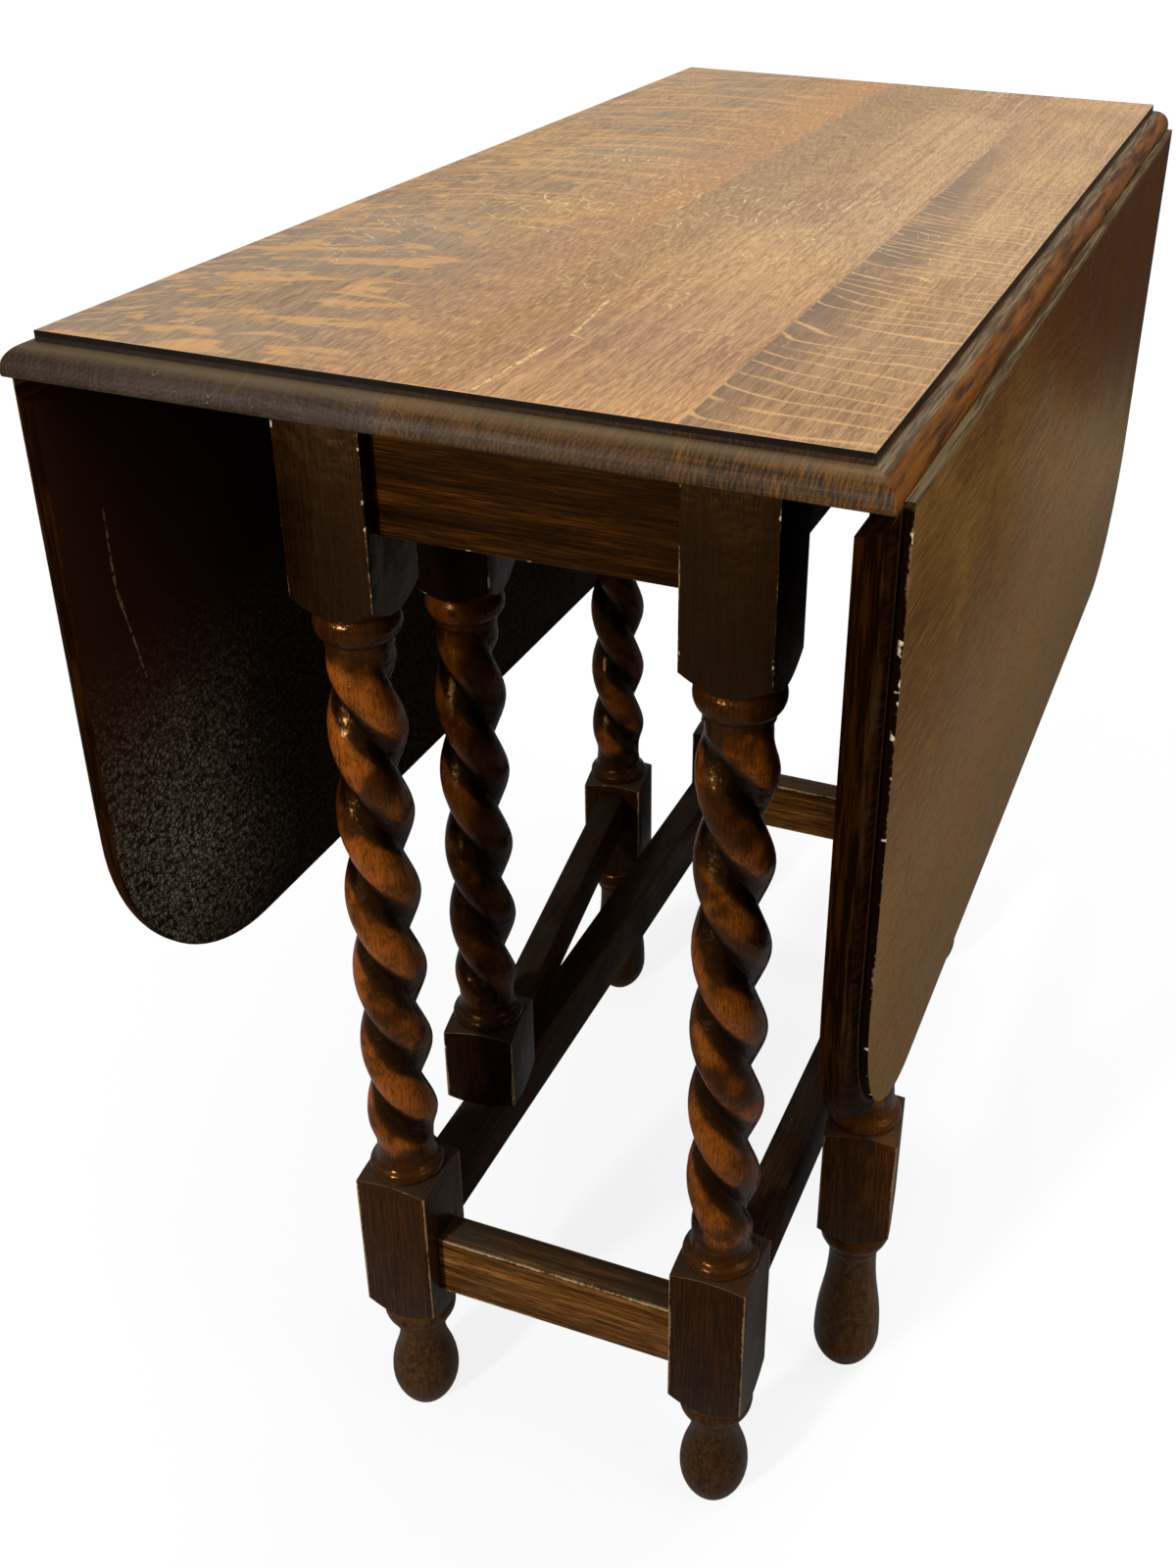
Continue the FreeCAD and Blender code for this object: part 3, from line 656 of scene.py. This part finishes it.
def make_ray_group():
    """Fine pale rays that cross a board in shallow arcs: Spacing apart at the front end and
    closer further back."""
    inputs = {"Vector": (0.0, 0.0, 0.0), "Spacing": 0.024, "Start": 0.0, "Rise": 0.014}
    tree, given, result = new_group("cross_rays", inputs, ("Ray",))
    x, y = split(tree, given["Vector"])[:2]
    across = minus(tree, x, given["Start"])
    fall = calc(tree, "EXPONENT", times(tree, across, -45.0))
    lift = times(tree, fall, given["Rise"])
    drift = uneven(tree, given["Vector"], (14.0, 32.0, 1.0), 2.0)
    level = plus(tree, minus(tree, y, lift), times(tree, drift, 0.026))
    from_front = plus(tree, level, field_half.y)
    closer = times(tree, from_front, step(tree, from_front, 0.0, 0.6, 1.0, 1.7))
    away = calc(tree, "PINGPONG", closer, times(tree, given["Spacing"], 0.5))
    line = step(tree, away, 0.0017, 0.0005)
    broken = uneven(tree, given["Vector"], (22.0, 60.0, 1.0), 2.0)
    tree.links.new(times(tree, line, step(tree, broken, 0.34, 0.48)), result["Ray"])
    return tree


def make_mark_group():
    """One long thin scratch from Start to End in the XY plane of Vector, broken by Gaps."""
    inputs = {"Vector": (0.0, 0.0, 0.0), "Start": (0.0, 0.0, 0.0), "End": (0.0, 1.0, 0.0)}
    inputs.update({"Width": 0.0006, "Gaps": 0.4})
    tree, given, result = new_group("long_scratch", inputs, ("Mark",))
    whole = vector_calc(tree, "SUBTRACT", given["End"], given["Start"])
    wander = noise(tree, given["Vector"], 60.0, 2.0)
    reach = vector_calc(tree, "SUBTRACT", given["Vector"], given["Start"])
    share = vector_calc(tree, "DOT_PRODUCT", reach, whole, 1)
    length = vector_calc(tree, "DOT_PRODUCT", whole, whole, 1)
    share = calc(tree, "DIVIDE", share, length, True)
    nearest = vector_calc(tree, "SCALE", whole)
    tree.links.new(share, nearest.node.inputs["Scale"])
    away = vector_calc(tree, "LENGTH", vector_calc(tree, "SUBTRACT", reach, nearest), out=1)
    away = plus(tree, away, times(tree, minus(tree, wander, 0.5), 0.003))
    away = magnitude(tree, away)
    line = step(tree, away, given["Width"], times(tree, given["Width"], 0.4))
    gaps = noise(tree, given["Vector"], 260.0, 3.0, 0.7)
    tree.links.new(times(tree, line, step(tree, gaps, given["Gaps"], 0.56)), result["Mark"])
    return tree


fleck_group = make_fleck_group()
ray_group = make_ray_group()
mark_group = make_mark_group()


def top_oak(name, field, end_light, seam, fleck, rays, gold, warmth, dull, painted_light_tints, shift, long_scratches=()):
    """Finish of one top board: field above the step, moulding, end grain and underside. seam
    holds the next board's field colours, how far they reach from the left seam, and a slant;
    the tints for the front and the back paint the light and sheen that fall on it there."""
    material, tree, shader, place = new_material(name)
    x, y, z = split(tree, place)
    normal = facing(tree)
    wood = along_grain(tree, place, along_y, shift)
    fibre = use(tree, fibre_group, vector=wood, streak_width=0.0010, streak_length=0.030, pore_length=0.009)
    fine = streaks(tree, wood, 0.0005, 0.010, 2.0, 0.6)
    years = streaks(tree, wood, 0.0030, 0.16, 3.0, 0.6)
    flat = join(tree, x, y, 0.0)
    cloud = noise(tree, vector_calc(tree, "ADD", flat, shift), 9.0, 3.0, 0.55)

    colour = blend(tree, step(tree, fibre["Streak"], 0.1, 0.8), field[0], field[1])
    colour = blend(tree, times(tree, step(tree, cloud, 0.38, 0.66), warmth), colour, field[2])
    colour = blend(tree, step(tree, years, 0.50, 0.64, 0.0, 0.5), colour, field[2])
    colour = blend(tree, step(tree, years, 0.48, 0.36, 0.0, 0.5), colour, field[0])
    colour = blend(tree, step(tree, fine, 0.53, 0.62, 0.0, 0.8), colour, field[2])
    colour = blend(tree, step(tree, fine, 0.47, 0.38, 0.0, 0.8), colour, field[0])
    haze = step(tree, noise(tree, vector_calc(tree, "ADD", flat, (0.4, 0.2, 0.0)), 6.0, 2.0), 0.42, 0.66)
    colour = blend(tree, times(tree, haze, dull), colour, grey_haze)
    near, reach, slant = seam
    slanted = minus(tree, x, times(tree, plus(tree, y, field_half.y), slant))
    matched = step(tree, slanted, left_seam + reach, left_seam, 0.0, 0.75)
    near_seam = blend(tree, step(tree, fine, 0.40, 0.60), near[0], near[1])
    near_seam = blend(tree, step(tree, fine, 0.52, 0.66, 0.0, 0.8), near_seam, near[2])
    colour = blend(tree, matched, colour, near_seam)
    bowed = vector_calc(tree, "ADD", flat, (0.06, 0.0, 0.0))
    bowed = times(tree, vector_calc(tree, "DOT_PRODUCT", bowed, (1, 0, 0), 1), 1.7)
    bowed = vector_calc(tree, "ADD", flat, join(tree, 0.0, times(tree, bowed, bowed), 0.0))
    patches, small, long_ones = [
        use(tree, fleck_group, vector=bowed, streak=fine, size=size, stretch=stretch, share=share)["Fleck"]
        for size, stretch, share in ((0.024, 1.5, fleck), (0.009, 1.5, fleck * 0.9), (0.026, 3.0, fleck))]
    further = step(tree, plus(tree, y, x), -0.32, -0.20)
    patches = times(tree, patches, minus(tree, 1.0, further))
    small = times(tree, small, step(tree, x, -0.115, -0.150))
    flecks = calc(tree, "MAXIMUM", patches, times(tree, long_ones, times(tree, further, 0.7)))
    flecks = calc(tree, "MAXIMUM", flecks, small)
    flecks = times(tree, flecks, step(tree, x, left_seam - 0.005, left_seam - 0.06, 0.15, 0.68))
    colour = blend(tree, flecks, colour, fleck_orange)
    if rays > 0.5:
        off_middle = magnitude(tree, plus(tree, y, 0.08))
        beside = minus(tree, x, right_seam)
        beside = plus(tree, beside, times(tree, off_middle, 0.09))
        # A darker, patchy zone beside the right seam.
        seam_zone = step(tree, beside, 0.050, 0.012)
        seam_patches = step(tree, noise(tree, flat, 30.0, 3.0), 0.3, 0.6, 0.5, 0.9)
        seam_zone = times(tree, seam_zone, seam_patches)
        colour = blend(tree, seam_zone, colour, seam_brown)
        lines = use(tree, ray_group, vector=flat, spacing=0.017, start=right_seam)["Ray"]
        fade = step(tree, y, 0.22, -0.10)
    else:
        lines = use(tree, ray_group, vector=flat, spacing=0.030, start=left_seam)["Ray"]
        fade = step(tree, y, -0.12, 0.10)
    colour = blend(tree, times(tree, times(tree, lines, fade), rays), colour, ray_orange)
    colour = blend(tree, times(tree, fibre["Pores"], 0.5), colour, field[0])
    marks, more = [
        use(tree, scratch_group, vector=flat, angle=angle, length=length, width=width, share=share)
        for angle, length, width, share in ((1.35, 0.016, 0.0011, 0.6), (0.5, 0.011, 0.0009, 0.5))]
    centre = vector_calc(tree, "LENGTH", vector_calc(tree, "SUBTRACT", flat, scratched_place), out=1)
    busy = plus(tree, noise(tree, flat, 9.0, 3.0), step(tree, centre, 0.05, 0.22, 0.10, -0.08))
    busy = step(tree, busy, 0.44, 0.57)
    marks = calc(tree, "MAXIMUM", marks["Scratch"], more["Scratch"])
    marks = times(tree, marks, times(tree, busy, gold))
    for start, end in long_scratches:
        mark = use(tree, mark_group, vector=flat, start=start, end=end, width=0.0011, gaps=0.40)["Mark"]
        marks = calc(tree, "MAXIMUM", marks, mark)
    colour = blend(tree, marks, colour, scratch_gold)
    # painted light and sheen: the field is tinted lighter or darker from the front to the back
    colour = blend(tree, 1.0, colour, blend(tree, step(tree, y, -0.38, 0.02), *painted_light_tints), "MULTIPLY")

    side = minus(tree, magnitude(tree, x), field_half.x)
    end = minus(tree, magnitude(tree, y), field_half.y)
    out = calc(tree, "MAXIMUM", side, end)
    rim = step(tree, out, -0.0002, 0.0)
    up = normal[2]
    red = streaks(tree, wood, 0.004, 0.05, 3.0, 0.6)
    nose = blend(tree, step(tree, red, 0.35, 0.65), nose_dark, nose_red)
    # wear and painted sheen: the upward ledge of the moulding is pale, partly worn and partly a painted
    # reflection of the light above
    ledge_wear_and_sheen = plus(tree, up, times(tree, minus(tree, red, 0.5), 0.35))
    ledge_pale = blend(tree, step(tree, fibre["Streak"], 0.2, 0.8), ledge_brown, nose_pale)
    nose = blend(tree, step(tree, ledge_wear_and_sheen, 0.80, 0.94, 0.0, 0.9), nose, ledge_pale)
    rings = add(tree, "TexWave", {
        "Vector": vector_calc(tree, "ADD", place, (0.06 - shift[0], 0.0, -0.60)),
        "Scale": 150.0, "Distortion": 5.0, "Detail": 3.0, "Detail Scale": 1.5,
    }, wave_type="RINGS", rings_direction="Y").outputs["Fac"]
    hatch = uneven(tree, place, (1100.0, 1.0, 130.0), 2.0, 0.6)
    level_lines = uneven(tree, place, (25.0, 1.0, 900.0), 2.0, 0.6)
    broad = uneven(tree, place, (16.0, 1.0, 60.0), 3.0)
    mottled = plus(tree, times(tree, hatch, 0.55), times(tree, level_lines, 0.4))
    mottled = plus(tree, mottled, times(tree, broad, 0.75))
    mottled = plus(tree, mottled, times(tree, rings, 0.10))
    grain = blend(tree, step(tree, mottled, 0.66, 1.14), end_dark, end_light)
    # painted light: the end grain is lighter where it faces up
    grain = blend(tree, times(tree, step(tree, up, 0.6, 0.95), 0.35), grain, nose_pale)
    upright = join(tree, x, z, 0.0)
    scuffs = use(tree, scratch_group, vector=upright, angle=1.1, length=0.016, width=0.0007, share=0.35)
    grain = blend(tree, times(tree, scuffs["Scratch"], gold), grain, nose_pale)
    on_end = step(tree, minus(tree, end, side), 0.0, 0.0004)
    edge = blend(tree, on_end, nose, grain)
    # painted shadow: the step's riser and the moulding just below the field's edge are painted black as the
    # step's shadow
    riser = times(tree, step(tree, z, step_level + 0.0014, step_level + 0.0022), rim)
    edge = blend(tree, riser, edge, step_shadow_black)
    edge = blend(tree, step(tree, out, 0.0012, 0.0003, 0.0, 0.6), edge, step_shadow_black)
    top_edge = magnitude(tree, plus(tree, out, 0.0004))
    wear = use(tree, wear_group, vector=place, distance=top_edge, reach=0.0022, amount=0.16)
    colour = blend(tree, times(tree, wear["Worn"], 0.5), colour, field[2])
    colour = blend(tree, rim, colour, edge)
    nicks = noise(tree, vector_calc(tree, "ADD", place, (0.3, 0.1, 0.0)), 210.0, 2.0, 0.7)
    nicks = times(tree, step(tree, nicks, 0.77, 0.80), rim)
    colour = blend(tree, nicks, colour, raw_chip)
    below = step(tree, up, -0.6, -0.9)
    colour = blend(tree, below, colour, underside_brown)

    rough = step(tree, cloud, 0.3, 0.7, 0.36, 0.52)
    rough = plus(tree, rough, times(tree, marks, 0.2), clamp=True)
    relief = times(tree, minus(tree, fine, fibre["Pores"]), 0.05)
    relief = minus(tree, relief, times(tree, marks, 0.08))
    relief = minus(tree, relief, times(tree, nicks, 0.4))
    polish(tree, shader, colour, rough, relief, 0.10)
    return material


middle_scratches = [
    ((0.0199, -0.3846, 0.0), (0.0225, -0.3250, 0.0)),
    ((0.0260, -0.3050, 0.0), (0.0193, -0.2511, 0.0)),
    ((0.0260, -0.3050, 0.0), (0.0330, -0.3080, 0.0)),
]
left_seam_side, middle_seam_side = (field_middle, -0.09, 0.0), (field_gold, 0.045, 0.06)
right_seam_side = (field_right, 0.045, 0.0)
# Tints at the front and the back of each board, painting the light and sheen that fall there.
left_painted_light_tints = (0.95, 0.98, 1.08), (1.07, 1.08, 1.13)
middle_painted_light_tints = (0.90, 0.89, 0.95), (0.82, 0.94, 1.22)
right_painted_light_tints = (0.87, 0.87, 0.93), (1.10, 1.16, 1.32)
top_finishes = {
    "left": top_oak(
        "left_board_oak", field_left, end_grey, left_seam_side, 0.62, 0.0, 0.8, 0.4, 0.50, left_painted_light_tints,
        (0.0, 0.0, 0.0)),
    "middle": top_oak(
        "middle_board_oak", field_middle, end_brown, middle_seam_side, 0.12, 0.4, 1.0, 0.5, 0.2,
        middle_painted_light_tints, (0.31, 0.0, 0.4), middle_scratches),
    "right": top_oak(
        "right_board_oak", field_right, end_red, right_seam_side, 0.05, 0.9, 0.4, 0.4, 0.15, right_painted_light_tints,
        (0.73, 0.0, 0.9)),
}


def off_seams(point):
    """True on the top face, apart from the glued seams."""
    from_seam = min(abs(point.x - left_seam), abs(point.x - right_seam))
    return point.z > top_level - touch and from_seam > seam_reach


for side, finish in top_finishes.items():
    node = "top_board_" + side
    piece = merged_copy(node, side + "_top_board")
    soften(piece, board_rounding, off_seams)
    finish_piece(piece, finish, "table_frame", "top_oak", node)


# Leaves
# Each leaf is two oak boards glued edge to edge, with rounded outer corners and the top's
# moulding on its three free edges. Its show face hangs outwards, polished and scuffed, with
# painted sheen: lighter lower down, a pale band across it and a dark reflection above that. The
# inner face is nearly black, with old finish crazed low down and painted grey there as a highlight.
leaf_low, leaf_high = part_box("leaf_right_outer_board")
leaf_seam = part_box("leaf_right_inner_board")[0].z
leaf_face = leaf_high.x
leaf_end, leaf_corner, leaf_moulding = 0.4015, 0.110, 0.0115
leaf_dark, leaf_brown, leaf_light = (0.100, 0.038, 0.005), (0.180, 0.078, 0.014), (0.31, 0.160, 0.040)
leaf_dark_reflection, leaf_low_sheen_brown, leaf_sheen = (0.052, 0.009, 0.0004), (0.34, 0.205, 0.090), (0.56, 0.39, 0.210)
inner_black, inner_brown, craze_and_highlight_grey = (0.008, 0.003, 0.001), (0.022, 0.008, 0.003), (0.55, 0.48, 0.32)
inner_red, craze_place = (0.050, 0.016, 0.006), (-0.350, 0.455, 0.0)
rim_black_and_step_shadow, rim_brown = (0.005, 0.0014, 0.0002), (0.022, 0.006, 0.0005)
inner_scratches = [
    ((-0.3701, 0.6521, 0.0), (-0.3705, 0.6131, 0.0)),
    ((-0.3705, 0.6131, 0.0), (-0.3591, 0.5610, 0.0)),
]


def leaf_oak(name, shift):
    """Finish of a leaf, by which way each part of it faces."""
    material, tree, shader, place = new_material(name)
    x, y, z = split(tree, place)
    normal = facing(tree)
    wood = along_grain(tree, place, along_y, shift)
    fibre = use(tree, fibre_group, vector=wood, streak_width=0.0013, streak_length=0.05, pore_length=0.008)
    flat = join(tree, y, z, 0.0)
    cloud = noise(tree, vector_calc(tree, "ADD", flat, shift), 8.0, 3.0, 0.6)
    colour = blend(tree, step(tree, fibre["Streak"], 0.1, 0.9), leaf_dark, leaf_brown)
    colour = blend(tree, step(tree, cloud, 0.42, 0.72, 0.0, 0.6), colour, leaf_light)
    # painted sheen: the show face is lighter lower down
    colour = blend(tree, step(tree, z, 0.68, 0.50, 0.0, 0.7), colour, leaf_low_sheen_brown)
    # painted reflection: a pale band of sheen across the show face, strongest on the right leaf
    above = plus(tree, minus(tree, z, 0.635), times(tree, y, 0.35))
    above = plus(tree, above, times(tree, minus(tree, cloud, 0.5), 0.05))
    sheen = times(tree, step(tree, above, -0.12, -0.02), step(tree, above, 0.03, -0.02))
    sheen = times(tree, sheen, step(tree, y, -0.22, -0.08, 0.0, 0.30))
    sheen = times(tree, sheen, step(tree, x, -0.1, 0.1, 0.3, 1.0))
    sheen = times(tree, sheen, step(tree, fibre["Streak"], 0.0, 0.8, 0.5, 1.0))
    colour = blend(tree, sheen, colour, leaf_sheen)
    scuffed = streaks(tree, wood, 0.0007, 0.012, 2.0, 0.6)
    colour = blend(tree, step(tree, scuffed, 0.54, 0.64, 0.0, 0.45), colour, leaf_light)
    colour = blend(tree, step(tree, scuffed, 0.46, 0.36, 0.0, 0.45), colour, leaf_dark)
    # painted reflection: the show face is darker above that band, a dark reflection under the joint
    dark_reflection_share = times(tree, step(tree, above, -0.04, 0.08), step(tree, x, -0.1, 0.1, 0.3, 0.75))
    colour = blend(tree, dark_reflection_share, colour, leaf_dark_reflection)
    colour = blend(tree, times(tree, fibre["Pores"], 0.6), colour, leaf_dark)
    marks = use(tree, scratch_group, vector=flat, angle=1.0, length=0.010, width=0.0008, share=0.3)
    busy = step(tree, noise(tree, flat, 9.0, 3.0), 0.54, 0.66)
    marks = times(tree, times(tree, marks["Scratch"], busy), 0.35)
    colour = blend(tree, marks, colour, scratch_gold)

    inward = times(tree, normal[0], calc(tree, "SIGN", x))
    inside = step(tree, inward, -0.6, -0.9)
    dark = blend(tree, step(tree, fibre["Streak"], 0.0, 1.0, 0.3, 0.7), inner_black, inner_brown)
    near_end = step(tree, magnitude(tree, y), 0.20, 0.40, 0.0, 0.75)
    dark = blend(tree, times(tree, near_end, step(tree, z, 0.45, 0.58)), dark, inner_red)
    cells = add(tree, "TexVoronoi", {"Vector": flat, "Scale": 340.0}, feature="DISTANCE_TO_EDGE")
    craze = step(tree, cells.outputs["Distance"], 0.02, 0.16)
    rough_spots = noise(tree, flat, 260.0, 4.0, 0.8)
    craze = times(tree, craze, step(tree, rough_spots, 0.37, 0.64))
    # crazed finish with a painted highlight: painted grey, brightest around one spot low down and fading
    # away from it
    spread = vector_calc(tree, "LENGTH", vector_calc(tree, "SUBTRACT", flat, craze_place), out=1)
    spread = plus(tree, spread, times(tree, noise(tree, flat, 14.0, 3.0), 0.10))
    craze = times(tree, craze, step(tree, spread, 0.16, 0.05, 0.12, 0.9))
    craze = times(tree, craze, step(tree, z, 0.60, 0.54))
    dark = blend(tree, craze, dark, craze_and_highlight_grey)
    for start, end in inner_scratches:
        mark = use(tree, mark_group, vector=flat, start=start, end=end, width=0.0010, gaps=0.40)["Mark"]
        dark = blend(tree, times(tree, mark, step(tree, x, 0.0, -0.1)), dark, worn_oak)
    colour = blend(tree, inside, colour, dark)

    off = minus(tree, leaf_face, magnitude(tree, x))
    rim = step(tree, off, 0.0040, 0.0048)
    edge = streaks(tree, wood, 0.004, 0.05, 3.0, 0.6)
    edge = blend(tree, step(tree, edge, 0.35, 0.65), rim_black_and_step_shadow, rim_brown)
    cut = uneven(tree, place, (700.0, 1.0, 35.0), 2.0)
    endwise = step(tree, magnitude(tree, normal[1]), 0.6, 0.85)
    edge = blend(tree, endwise, edge, blend(tree, step(tree, cut, 0.4, 0.65), rim_black_and_step_shadow, rim_brown))
    # wear and painted glint: the rounded moulding at the ends is rubbed pale in a few streaks that also
    # stand in for its glint
    rounding = times(tree, magnitude(tree, normal[0]), magnitude(tree, normal[1]))
    rubbed = times(tree, step(tree, rounding, 0.40, 0.50), step(tree, cut, 0.4, 0.7, 0.0, 0.06))
    edge = blend(tree, rubbed, edge, worn_oak)
    colour = blend(tree, times(tree, rim, step(tree, inside, 0.5, 0.0)), colour, edge)
    # painted shadow: the leaf's step riser is painted black as the step's shadow
    riser = step(tree, magnitude(tree, normal[0]), 0.9, 0.6)
    riser = times(tree, riser, step(tree, off, 0.006, 0.005))
    colour = blend(tree, riser, colour, rim_black_and_step_shadow)
    # wear and painted reflection: the leaf's top edge is pale, partly worn and partly lit from above
    upper = step(tree, z, 0.7190, 0.7225)
    upper_pale = blend(tree, step(tree, fibre["Streak"], 0.2, 0.8), ledge_brown, nose_pale)
    colour = blend(tree, times(tree, upper, 0.85), colour, upper_pale)
    beyond = minus(tree, magnitude(tree, y), leaf_end - leaf_corner)
    down = minus(tree, leaf_low.z + leaf_corner, z)
    round_part = join(tree, calc(tree, "MAXIMUM", beyond, 0.0), calc(tree, "MAXIMUM", down, 0.0), 0.0)
    from_rim = minus(tree, leaf_corner - leaf_moulding, vector_calc(tree, "LENGTH", round_part, out=1))
    show_edge = plus(tree, magnitude(tree, from_rim), times(tree, off, 0.5))
    wear = use(tree, wear_group, vector=place, distance=show_edge, reach=0.0024, amount=0.08)
    colour = rub_off(tree, colour, wear, 0.6)

    rough = step(tree, cloud, 0.3, 0.7, 0.34, 0.5)
    rough = plus(tree, rough, times(tree, craze, 0.3), clamp=True)
    relief = times(tree, minus(tree, fibre["Streak"], fibre["Pores"]), 0.04)
    relief = plus(tree, relief, times(tree, craze, 0.3))
    relief = minus(tree, relief, times(tree, wear["Chips"], 0.4))
    polish(tree, shader, colour, rough, relief, 0.008, polish_tint)
    return material


leaf_finishes = {
    "inner": leaf_oak("leaf_inner_oak", (0.2, 0.5, 0.0)),
    "outer": leaf_oak("leaf_outer_oak", (0.6, 0.1, 0.3)),
}
for side in ("left", "right"):
    for part, finish in leaf_finishes.items():
        node = "leaf_" + side + "_" + part + "_board"
        piece = merged_copy(node, side + "_leaf_" + part + "_board")
        soften(piece, board_rounding, lambda point: abs(point.z - leaf_seam) > seam_reach)
        finish_piece(piece, finish, side + "_leaf", "leaf_oak", node)


# Rule-joint hinges
# Iron back-flap hinges let into the undersides: a fixed flap, a leaf flap and a pin each,
# held by countersunk steel screws.
hinge_iron = aged_metal("hinge_iron", (0.020, 0.016, 0.013), (0.12, 0.105, 0.09), 0.8)
for node in frame["nodes"]:
    if node.startswith("hinge_screws"):
        dress_node(node, screw_steel)
    elif node.startswith("hinge_"):
        dress_node(node, hinge_iron)


# Studio
# A pale floor with no edge, soft light from above, weaker light from the right and a small
# lamp in front, and the camera where the photograph was taken from.
gloss_share, ambient = 0.08, 0.25
floor_radius, floor_shade, floor_glow = 12.0, 0.22, 0.84


def seen_white(tree):
    """1 where the camera or glass sees the surround, and a share of it for gloss, because
    dark polished wood turns grey in a white room."""
    path = tree.nodes.new("ShaderNodeLightPath").outputs
    clear = calc(tree, "MAXIMUM", path["Is Camera Ray"], path["Is Transmission Ray"])
    return calc(tree, "MAXIMUM", clear, times(tree, path["Is Glossy Ray"], gloss_share))


def pale(name, shade, glow):
    """White surround that is seen a little brighter than it is lit."""
    material, tree, shader, place = new_material(name)
    seen = seen_white(tree)
    shader.inputs["Base Color"].default_value = (shade, shade, shade, 1)
    shader.inputs["Roughness"].default_value = 0.9
    shader.inputs["Specular IOR Level"].default_value = 0.0
    shader.inputs["Emission Color"].default_value = (1, 1, 1, 1)
    away = vector_calc(tree, "LENGTH", place, out=1)
    wide = step(tree, away, 0.6, 2.5, glow, 1.0)
    tree.links.new(times(tree, seen, wide), shader.inputs["Emission Strength"])
    return material


bpy.ops.object.select_all(action="DESELECT")
bpy.ops.mesh.primitive_circle_add(vertices=96, radius=floor_radius, fill_type="NGON")
floor = bpy.context.active_object
floor.name = "floor"
floor.data.materials.append(pale("floor_white", floor_shade, floor_glow))

world = bpy.data.worlds.new("surround")
bpy.context.scene.world = world
world.use_nodes = True
tree = world.node_tree
brightness = add(tree, "MapRange", {"Value": seen_white(tree), "To Min": ambient, "To Max": 1.0})
tree.links.new(brightness.outputs[0], tree.nodes["Background"].inputs["Strength"])
tree.nodes["Background"].inputs["Color"].default_value = (1, 1, 1, 1)


def soft_light(name, place, target, size, power):
    """Square lamp at place that faces target."""
    bpy.ops.object.light_add(type="AREA", location=place)
    lamp = bpy.context.active_object
    lamp.name = name
    lamp.rotation_euler = (Vector(target) - Vector(place)).to_track_quat("-Z", "Y").to_euler()
    lamp.data.size = size
    lamp.data.energy = power


soft_light("overhead", (0.3, 0.5, 2.6), (0, 0, 0.7), 1.8, 32)
soft_light("right_fill", (2.4, -0.6, 1.6), (0.1, 0, 0.5), 1.2, 14)
soft_light("front_window", (-0.7, -2.4, 1.15), (0, -0.2, 0.4), 0.20, 40)

photo_width, photo_height = 1200, 1600
focal_pixels = 1716.75
centre_pixel_x, centre_pixel_y = 725.06, 740.38
camera_place = Vector((0.3167, -0.9449, 0.9526))
azimuth, tilt, roll = -0.3371, 0.5209, -0.0251
bpy.ops.object.camera_add(location=camera_place)
camera = bpy.context.active_object
camera.name = "camera"
forward = Vector((math.sin(azimuth) * math.cos(tilt), math.cos(azimuth) * math.cos(tilt), -math.sin(tilt)))
level = Vector((math.cos(azimuth), -math.sin(azimuth), 0))
down = forward.cross(level)
right = math.cos(roll) * level + math.sin(roll) * down
up = math.sin(roll) * level - math.cos(roll) * down
camera.rotation_euler = Matrix((right, up, -forward)).transposed().to_euler()
camera.data.sensor_fit = "VERTICAL"
camera.data.sensor_height = 36
camera.data.lens = camera.data.sensor_height * focal_pixels / photo_height
camera.data.shift_x = (photo_width / 2 - centre_pixel_x) / photo_height
camera.data.shift_y = (centre_pixel_y - photo_height / 2) / photo_height
bpy.context.scene.camera = camera
bpy.context.scene.view_settings.view_transform = "Standard"
